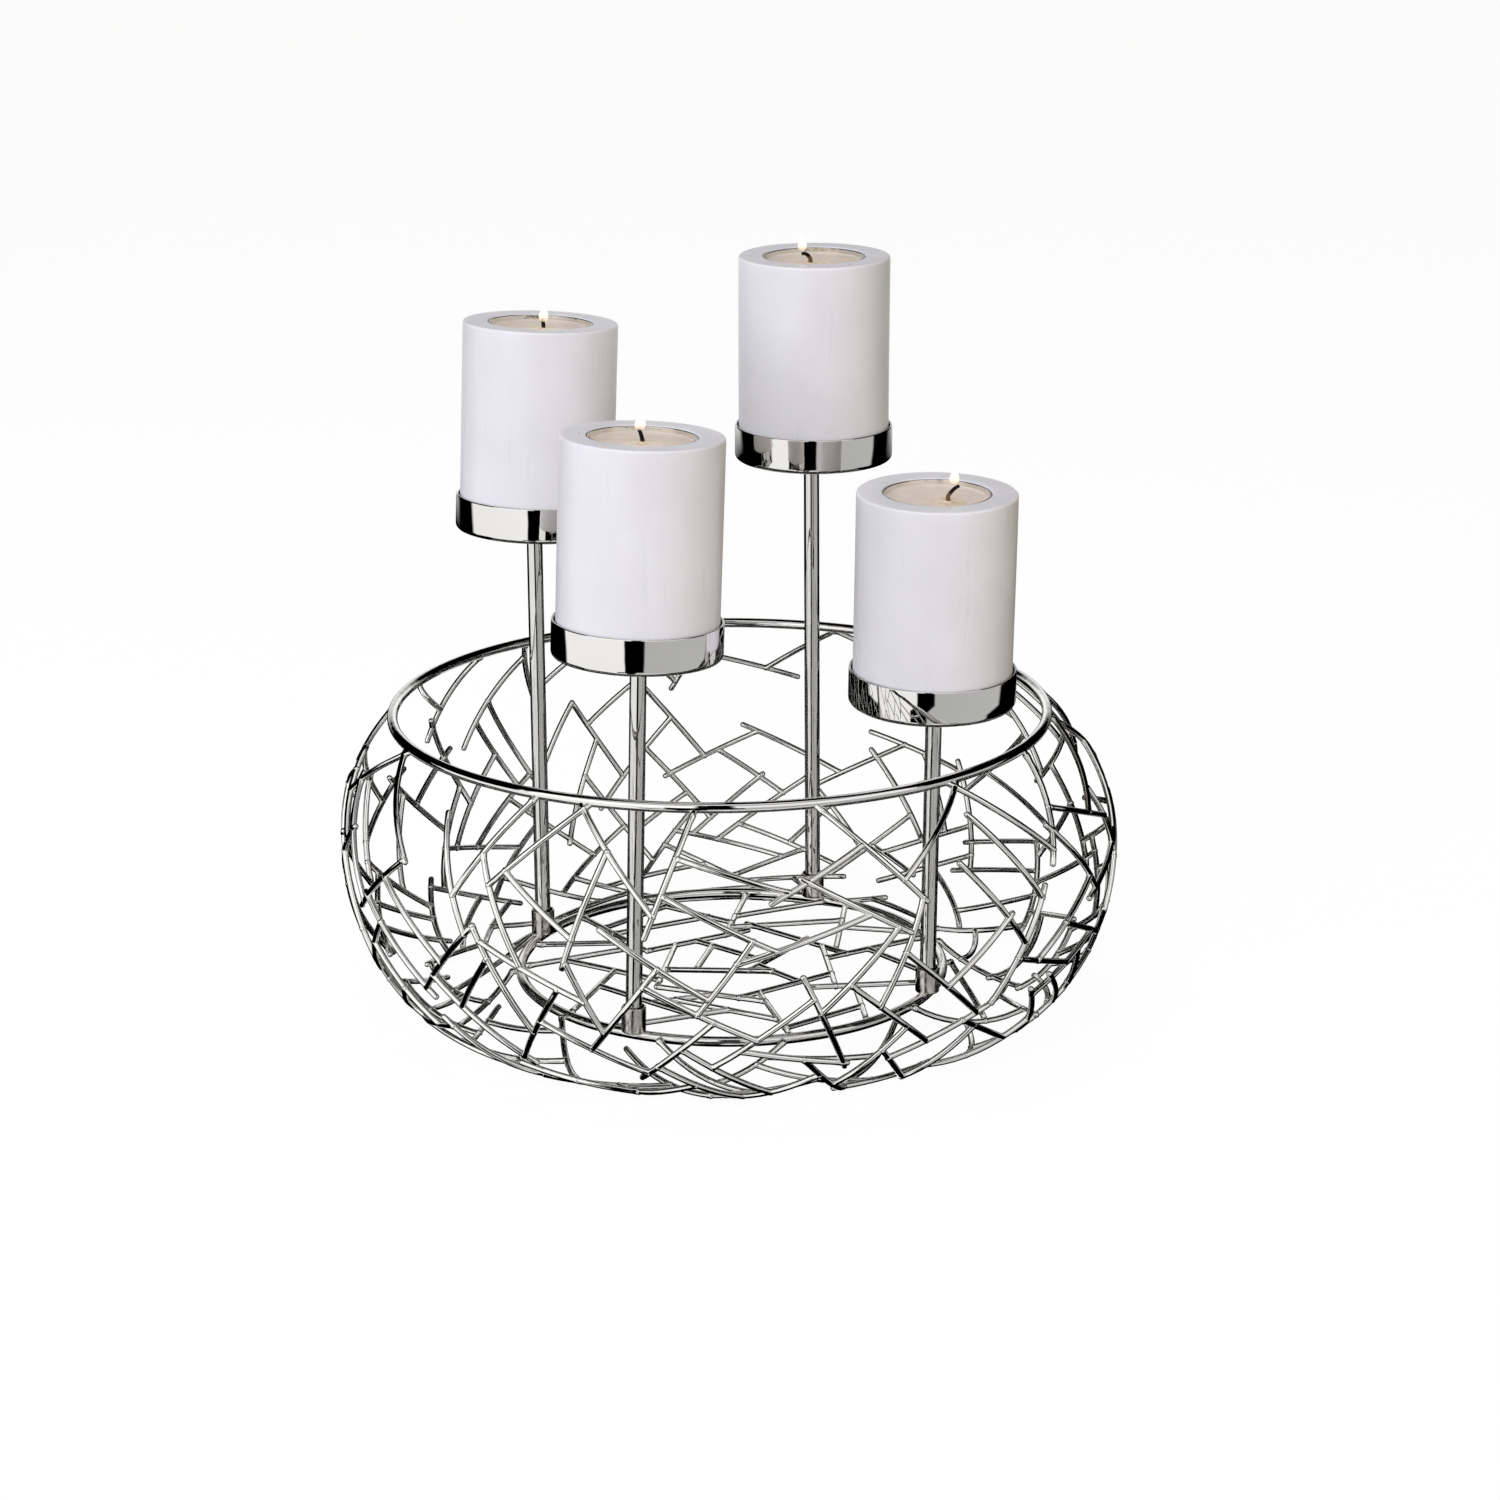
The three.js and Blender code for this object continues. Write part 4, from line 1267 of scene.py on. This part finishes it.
def tin_outline():
    """A thin pressed cup with a rolled lip."""
    inner = TIN["radius"] - TIN["wall"]
    return rounded([(0, 0, 0), (TIN["radius"], 0, TIN["edge"]),
                    (TIN["radius"], TIN["height"], TIN["lip"]), (inner, TIN["height"], TIN["lip"]),
                    (inner, TIN["floor"], TIN["corner"]), (0, TIN["floor"], 0)])


def wax_outline():
    """Tealight wax, flat but for an edge that climbs the tin."""
    radius, top = TIN["radius"] - TIN["wall"] - FILL["play"], FILL["depth"]
    points = [(0, 0), (radius, 0), (radius, top + FILL["rim"])]
    for i in range(1, POOL["steps"]):
        r = radius * (1 - i / POOL["steps"])
        points.append((r, top + FILL["climb"] * math.exp(-(radius - r) / FILL["fade"])))
    return points + [(0, top)]


def from_wick(index, x, y):
    wick = HOLDERS[index]["wick_at"]
    return math.hypot(x - wick[0], y - wick[1])


def smooth_path(corners, parts):
    """A curve through corners, with parts steps between each two."""
    points = []
    ends = [corners[0] * 2 - corners[1]] + corners + [corners[-1] * 2 - corners[-2]]
    for p0, p1, p2, p3 in zip(ends, ends[1:], ends[2:], ends[3:]):
        for k in range(parts):
            t = k / parts
            points.append(0.5 * (2 * p1 + (p2 - p0) * t + (2 * p0 - 5 * p1 + 4 * p2 - p3) * t * t
                                 + (3 * p1 - p0 - 3 * p2 + p3) * t ** 3))
    return points + [corners[-1]]


def wick_path(index):
    rise = FILL["hole_depth"] - GAP
    corners = [Vector((0, 0, 0)), Vector((0, 0, rise))]
    corners += [Vector((x, 0, rise + z)) for x, z in HOLDERS[index]["wick"]]
    return smooth_path(corners, WICK["bends"])


def wick_radii(count):
    """A wick's radius at each point of its path: it thins upwards, and its twist shows."""
    return [WICK["radius"] * (1 - WICK["taper"] * (i / count) ** 2
                              + WICK["wave"] * math.sin(WICK["twist"] * i)) for i in range(count)]


def wick_char(kind, path):
    """How charred a wick is at each point of its path, from 0 to 1."""
    soaked = FILL["hole_depth"] + kind["soaked"]
    return [min(max(WICK["char"] * (point.z - soaked), 0.0), 1.0) for point in path]


def heights():
    """Bottoms of the candle, tin, wax and wick above the bottom of the cup."""
    candle = CUP["floor"] + GAP
    tin = candle + CANDLE["height"] - CANDLE["depth"] + GAP
    fill = tin + TIN["floor"] + GAP
    return candle, tin, fill, fill + FILL["depth"] - FILL["hole_depth"] + GAP


# Operators

class WREATH_OT_nest(bpy.types.Operator):
    """Build the short welded wires of the wall and the floor"""
    bl_idname = "wreath.nest"
    bl_label = "Wire nest"

    def execute(self, context):
        metal = context.scene.wreath_metal
        look = metal_material("Nickel wire", metal.nickel)
        tree = wires_tree()
        draw = make_draw(SEED + 1)
        for node, bunch in sorted(lay_nest().items()):
            piece = grow("wires_" + node, tree, bunch_mesh(node, bunch, draw), {
                "Wire radius": metal.wire_radius, "Sides": metal.wire_sides,
                "Bead radius": metal.bead_radius, "Material": look})
            stand_on_table(piece.data)
            finish_piece(piece, node)
        return {"FINISHED"}


class WREATH_OT_rings(bpy.types.Operator):
    """Build the rim ring and the base ring"""
    bl_idname = "wreath.rings"
    bl_label = "Rings"

    def execute(self, context):
        metal = context.scene.wreath_metal
        look = metal_material("Nickel ring", metal.nickel)
        tree = ring_tree()
        for node, ring in (("rim_ring", RIM), ("base_ring", BASE)):
            blank = bpy.data.meshes.new(node + "_blank")
            piece = grow("bright_" + node, tree, blank, {
                "Ring radius": ring["radius"] * MM, "Wire radius": metal.ring_wire,
                "Centre": mm((ring["shift"], 0, ring["height"])), "Material": look})
            finish_piece(piece, node)
        return {"FINISHED"}


class WREATH_OT_holders(bpy.types.Operator):
    """Build the sockets, stems and cups"""
    bl_idname = "wreath.holders"
    bl_label = "Stems and cups"

    def execute(self, context):
        nickel = context.scene.wreath_metal.nickel
        drawn = metal_material("Drawn stem", nickel)
        collar = metal_material("Turned collar", COLLAR)
        mirror = metal_material("Mirror cup", nickel)
        for k in range(len(HOLDERS)):
            holder, cup, bottom = holder_places(k)
            for kind, outline, place, look in (
                ("socket", socket_outline(), holder, collar),
                ("stem", stem_outline(bottom), holder, drawn),
                ("cup", cup_outline(), cup, mirror),
            ):
                piece = turned("fine_" + numbered(kind, k), outline, place, look, STEPS[kind])
                finish_piece(piece, numbered(kind, k))
        return {"FINISHED"}


class WREATH_OT_candles(bpy.types.Operator):
    """Build the pillar candles"""
    bl_idname = "wreath.candles"
    bl_label = "Pillar candles"

    def execute(self, context):
        look = wax_material(context.scene.wreath_candle.wax)
        outline = candle_outline()
        for k in range(len(HOLDERS)):
            place = holder_places(k)[1] @ Matrix.Translation((0, 0, heights()[0]))

            def uneven(turn, r, z):
                if r < CANDLE["recess"] + UNEVEN["clear"]:
                    return 0.0, 0.0
                swing = math.sin(UNEVEN["turns"] * turn + 2 * k) * math.sin(UNEVEN["rise"] * z + k)
                return -UNEVEN["depth"] - UNEVEN["depth"] * swing, 0.0

            piece = turned("poured_" + numbered("candle", k), outline, place, look,
                           STEPS["candle"], uneven)
            finish_piece(piece, numbered("candle", k))
        return {"FINISHED"}


class WREATH_OT_tealights(bpy.types.Operator):
    """Build the tealight tins, their wax and the wicks"""
    bl_idname = "wreath.tealights"
    bl_label = "Tealights"

    def execute(self, context):
        colours = context.scene.wreath_candle
        tin_look = metal_material("Pressed tin", colours.tin)
        wax_look = tealight_material(colours.tealight, colours.pool)
        char = wick_material()
        _, tin_bottom, fill_bottom, wick_bottom = heights()
        for k, kind in enumerate(HOLDERS):
            cup = holder_places(k)[1]
            tin = turned("pressed_" + numbered("tin", k), tin_outline(),
                         cup @ Matrix.Translation((0, 0, tin_bottom)), tin_look, STEPS["tin"])
            finish_piece(tin, numbered("tealight_tin", k))

            def melted(turn, r, z):
                if z < FILL["depth"] - FILL["rim"]:
                    return 0.0, 0.0
                away = from_wick(k, r * math.cos(turn), r * math.sin(turn))
                drawn = POOL["drawn"] * math.exp(-max(away - WICK["radius"], 0.0) / POOL["fade"])
                return 0.0, drawn - POOL["dip"] * math.exp(-(away / POOL["reach"]) ** 4)

            wax = turned("molten_" + numbered("wax", k), wax_outline(),
                         cup @ Matrix.Translation((0, 0, fill_bottom)), wax_look, STEPS["wax"],
                         melted, lambda place: from_wick(k, place.x, place.y))
            finish_piece(wax, numbered("tealight_wax", k))
            path = wick_path(k)
            place = cup @ Matrix.Translation((*kind["wick_at"], wick_bottom))
            wick = tube("burnt_" + numbered("wick", k), path, wick_radii(len(path)),
                        wick_char(kind, path), place, char, STEPS["wick"])
            finish_piece(wick, numbered("wick", k))
        return {"FINISHED"}


class WREATH_OT_flames(bpy.types.Operator):
    """Build the small flames, for the picture only"""
    bl_idname = "wreath.flames"
    bl_label = "Flames"

    def execute(self, context):
        colours = context.scene.wreath_candle
        look = flame_material(colours.flame, colours.glow)
        rise = heights()[3] + FILL["hole_depth"] - GAP
        for k, kind in enumerate(HOLDERS):
            x, z, width, height = kind["flame"]
            place = holder_places(k)[1] @ Matrix.Translation((*kind["wick_at"], rise))
            shares = [i / FLAME["parts"] for i in range(FLAME["parts"] + 1)]
            points = [Vector((x, 0, z + (f - 0.5) * height)) for f in shares]
            radii = [width / 2 * math.sin(math.pi * f ** FLAME["low"]) ** FLAME["plump"]
                     for f in shares]
            radii[0] = radii[-1] = 0
            piece = tube(numbered("flame", k), points, radii, shares, place, look, STEPS["flame"])
            piece.visible_shadow = False
            finish_piece(piece, None)
        return {"FINISHED"}


# Stage

ROOM = {"radius": 0.68, "low": -0.6, "high": 1.2, "sides": 180, "ceiling": 0.9, "underside": 0.7}
TABLE = {"half": 12.0, "height": -0.0002, "grey": 0.08}
WARM = (1.0, 0.94, 0.77, 1)
COOL = (0.87, 0.89, 1.0, 1)
# Place, height aimed at, size and colour of the soft lights, in metres
LIGHTS = {
    "key": ((-0.55, -1.6, 0.7), 0.15, 1.6, COOL),
    "left": ((-1.6, 0.1, 0.5), 0.2, 1.2, COOL),
    "right": ((1.4, -1.0, 0.45), 0.2, 1.2, WARM),
    "top": ((-0.1, 0.1, 1.9), 0.1, 1.2, COOL),
}
# Brightness round the mirrored room, by degrees from the front
WALL_LIGHT = (
    (-180, 1.3), (-8.0, 1.3), (-6.5, 0.0), (3.5, 0.0), (5.0, 1.0), (148, 1.0), (155, 1.3), (180, 1.3),
)
# The same in the band a little below level, which upright tubes mirror
LOW_LIGHT = (
    (-180, 0.95), (-17.0, 0.98), (-15.5, 0.0), (5.5, 0.0),
    (7.0, 0.49), (150, 0.53), (155, 0.95), (180, 0.95),
)
# The band's heights on the wall in metres, and how much it counts there
LOW_BAND = ((-0.33, 0.0), (-0.29, 1.0), (0.17, 1.0), (0.20, 0.0))
# The room is lit round one fixed direction, from the wreath towards the photographed front.
# What lies behind is dark, apart from a white backdrop straight behind. Each stop is the
# cosine of the angle from that direction, and a brightness
FRONT = Vector((0, -0.95, 0.31))
BEHIND = ((-1.0, 1.0), (-0.93, 1.0), (-0.92, 0.0), (0.46, 0.0), (0.53, 1.0), (1.0, 1.0))
# Far behind and above level it's light again: the cosines and heights where that starts
# and is full, and the brightness there
BACKDROP = {"cosine": (-0.6, -0.75), "rise": (0.06, 0.16), "bright": 0.8}
# The band stays lit further round, by this much of the cosine in its lower and upper part
LOW_REACH = (0.32, 0.62)
# Low down, below this step in metres, the room is turned by this many degrees
LOW_STEP = (-0.12, -0.08)
LOW_TURN = 10
# The wall dims upwards: between these heights in metres, from and to these levels
UPPER = (0.55, 0.8, 1.0, 0.35)


def add_light(name, power):
    place, aim, size, colour = LIGHTS[name]
    data = bpy.data.lights.new(name, "AREA")
    data.shape, data.size, data.energy, data.color = "DISK", size, power, colour[:3]
    light = bpy.data.objects.new(name, data)
    light.location = place
    light.rotation_euler = (Vector((0, 0, aim)) - Vector(place)).to_track_quat("-Z", "Y").to_euler()
    light.visible_glossy = False
    bpy.context.scene.collection.objects.link(light)


def add_stage_piece(name, mesh, material, glossy_only):
    obj = link_mesh(name, mesh)
    mesh.materials.append(material)
    if glossy_only:
        obj.visible_camera = obj.visible_diffuse = obj.visible_shadow = False
        obj.visible_transmission = obj.visible_volume_scatter = False
    else:
        obj.visible_glossy = False


def flat_mesh(name, half, z):
    mesh = bpy.data.meshes.new(name)
    mesh.from_pydata([(-half, -half, z), (half, -half, z), (half, half, z), (-half, half, z)], [],
                     [(0, 1, 2, 3)])
    return mesh


def room_wall_mesh():
    wall = bmesh.new()
    bmesh.ops.create_cone(wall, cap_ends=False, segments=ROOM["sides"], radius1=ROOM["radius"],
                          radius2=ROOM["radius"], depth=ROOM["high"] - ROOM["low"])
    bmesh.ops.translate(wall, verts=wall.verts, vec=(0, 0, (ROOM["high"] + ROOM["low"]) / 2))
    mesh = bpy.data.meshes.new("room_wall")
    wall.to_mesh(mesh)
    wall.free()
    return mesh


def facing_front(tree, place, reach=0.0):
    """The room's brightness by how far a place is turned away from the fixed front."""
    ray = tree.vector_math("NORMALIZE", place)[0]
    cosine = tree.vector_math("DOT_PRODUCT", ray, FRONT)[1]
    part = tree.share(tree.math("ADD", cosine, reach), -1.0, 1.0)
    ahead = tree.ramp(part, [((c + 1) / 2, bright) for c, bright in BEHIND])
    rise = tree.add("ShaderNodeSeparateXYZ", {"Vector": ray}).outputs["Z"]
    far = tree.spread(cosine, *BACKDROP["cosine"], 0.0, BACKDROP["bright"])
    back = tree.math("MULTIPLY", far, tree.share(rise, *BACKDROP["rise"]))
    return tree.math("MAXIMUM", ahead, back)


def room_wall_material():
    """What the metal mirrors all round: soft boxes, dark gaps and the backdrop."""
    material, tree = new_material("Mirrored room")
    place = tree.place()
    axes = tree.add("ShaderNodeSeparateXYZ", {"Vector": place}).outputs
    turn = tree.math("ARCTAN2", axes["X"], tree.math("MULTIPLY", axes["Y"], -1.0))
    low = tree.spread(axes["Z"], *LOW_STEP, LOW_TURN * DEG, 0.0)
    part = tree.share(tree.math("ADD", turn, low), -math.pi, math.pi)
    everywhere, low_down = (tree.ramp(part, [((a + 180) / 360, bright) for a, bright in stops])
                            for stops in (WALL_LIGHT, LOW_LIGHT))
    bottom, top = LOW_BAND[0][0], LOW_BAND[-1][0]
    band = tree.ramp(tree.share(axes["Z"], bottom, top),
                     [((z - bottom) / (top - bottom), share) for z, share in LOW_BAND])
    reach = tree.math("MULTIPLY", band, tree.spread(axes["Z"], *LOW_STEP, *LOW_REACH))
    level = tree.math("MULTIPLY", tree.spread(axes["Z"], *UPPER), facing_front(tree, place, reach))
    finish_material(tree, "ShaderNodeEmission", {
        "Color": tree.mix(band, everywhere, low_down), "Strength": level})
    return material


def room_cap_material(name, bright):
    material, tree = new_material(name)
    finish_material(tree, "ShaderNodeEmission", {
        "Color": facing_front(tree, tree.place()), "Strength": bright})
    return material


def floor_material(shown, bounce):
    """A white table: plain white to the camera, and a soft warm light from below to the rest."""
    material, tree = new_material("White table")
    seen = tree.add("ShaderNodeLightPath").outputs["Is Camera Ray"]
    diffuse = tree.add("ShaderNodeBsdfDiffuse", {"Color": grey(TABLE["grey"])})
    shine = tree.add("ShaderNodeEmission", {
        "Color": tree.mix(seen, WARM, grey(1.0)), "Strength": tree.between(seen, bounce, shown)})
    finish_material(tree, "ShaderNodeAddShader", {0: diffuse.outputs[0], 1: shine.outputs[0]})
    return material


def add_world(strength):
    """Even warm surroundings that the metal doesn't mirror."""
    world = bpy.data.worlds.new("Soft surroundings")
    world.use_nodes = True
    world.node_tree.nodes.clear()
    tree = Tree(world.node_tree)
    path = tree.add("ShaderNodeLightPath").outputs
    lit = tree.math("MULTIPLY", tree.math("SUBTRACT", 1.0, path["Is Glossy Ray"]), strength)
    level = tree.math("MAXIMUM", lit, path["Is Camera Ray"])
    background = tree.add("ShaderNodeBackground", {
        "Color": tree.mix(path["Is Camera Ray"], WARM, grey(1.0)), "Strength": level})
    tree.add("ShaderNodeOutputWorld", {"Surface": background.outputs[0]})
    bpy.context.scene.world = world


def add_camera():
    """The camera, where the photograph was taken from."""
    yaw, pitch, roll = (CAMERA[k] * DEG for k in ("yaw", "pitch", "roll"))
    ahead = Vector((math.sin(yaw) * math.cos(pitch), math.cos(yaw) * math.cos(pitch), -math.sin(pitch)))
    right = Vector((math.cos(yaw), -math.sin(yaw), 0))
    up = right.cross(ahead)
    side = right * math.cos(roll) + up * math.sin(roll)
    top = up * math.cos(roll) - right * math.sin(roll)
    data = bpy.data.cameras.new("Camera")
    data.lens, data.sensor_width = CAMERA["lens"], CAMERA["sensor"]
    camera = bpy.data.objects.new("Camera", data)
    turn = Matrix((side, top, -ahead)).transposed().to_4x4()
    camera.matrix_world = Matrix.Translation(mm(CAMERA["place"])) @ turn
    bpy.context.scene.collection.objects.link(camera)
    bpy.context.scene.camera = camera


class WREATH_OT_stage(bpy.types.Operator):
    """Build the table, the lights, what the metal mirrors and the camera"""
    bl_idname = "wreath.stage"
    bl_label = "Stage"

    def execute(self, context):
        stage = context.scene.wreath_stage
        context.scene.view_settings.view_transform = "Standard"
        add_world(stage.sky)
        add_stage_piece("table_top", flat_mesh("table_top", TABLE["half"], TABLE["height"]),
                        floor_material(stage.table, stage.bounce), False)
        add_stage_piece("room_wall", room_wall_mesh(), room_wall_material(), True)
        for name, z, look, bright in (("room_ceiling", ROOM["high"], "Ceiling", ROOM["ceiling"]),
                                      ("room_under", ROOM["low"], "Underside", ROOM["underside"])):
            cap = flat_mesh(name, ROOM["radius"], z)
            add_stage_piece(name, cap, room_cap_material(look, bright), True)
        for name in LIGHTS:
            add_light(name, getattr(stage, name))
        add_camera()
        return {"FINISHED"}


class WREATH_PT_panel(bpy.types.Panel):
    """Lists the steps that build the wreath, and its settings"""
    bl_idname = "WREATH_PT_panel"
    bl_label = "Advent wreath"
    bl_space_type = "VIEW_3D"
    bl_region_type = "UI"
    bl_category = "Wreath"

    def draw(self, context):
        for operator in OPERATORS:
            self.layout.operator(operator.bl_idname)
        for group, _ in SETTINGS:
            settings = getattr(context.scene, group)
            box = self.layout.box()
            for name in settings.__annotations__:
                box.prop(settings, name)


SETTINGS = (("wreath_metal", WreathMetalSettings), ("wreath_candle", WreathCandleSettings),
            ("wreath_stage", WreathStageSettings))
OPERATORS = (WREATH_OT_nest, WREATH_OT_rings, WREATH_OT_holders, WREATH_OT_candles,
             WREATH_OT_tealights, WREATH_OT_flames, WREATH_OT_stage)


def register():
    for name, group in SETTINGS:
        bpy.utils.register_class(group)
        setattr(bpy.types.Scene, name, bpy.props.PointerProperty(type=group))
    for operator in OPERATORS:
        bpy.utils.register_class(operator)
    bpy.utils.register_class(WREATH_PT_panel)


def unregister():
    bpy.utils.unregister_class(WREATH_PT_panel)
    for operator in reversed(OPERATORS):
        bpy.utils.unregister_class(operator)
    for name, group in reversed(SETTINGS):
        delattr(bpy.types.Scene, name)
        bpy.utils.unregister_class(group)


def main():
    register()
    bpy.ops.wreath.nest()
    bpy.ops.wreath.rings()
    bpy.ops.wreath.holders()
    bpy.ops.wreath.candles()
    bpy.ops.wreath.tealights()
    bpy.ops.wreath.flames()
    bpy.ops.wreath.stage()


if __name__ == "__main__":
    main()
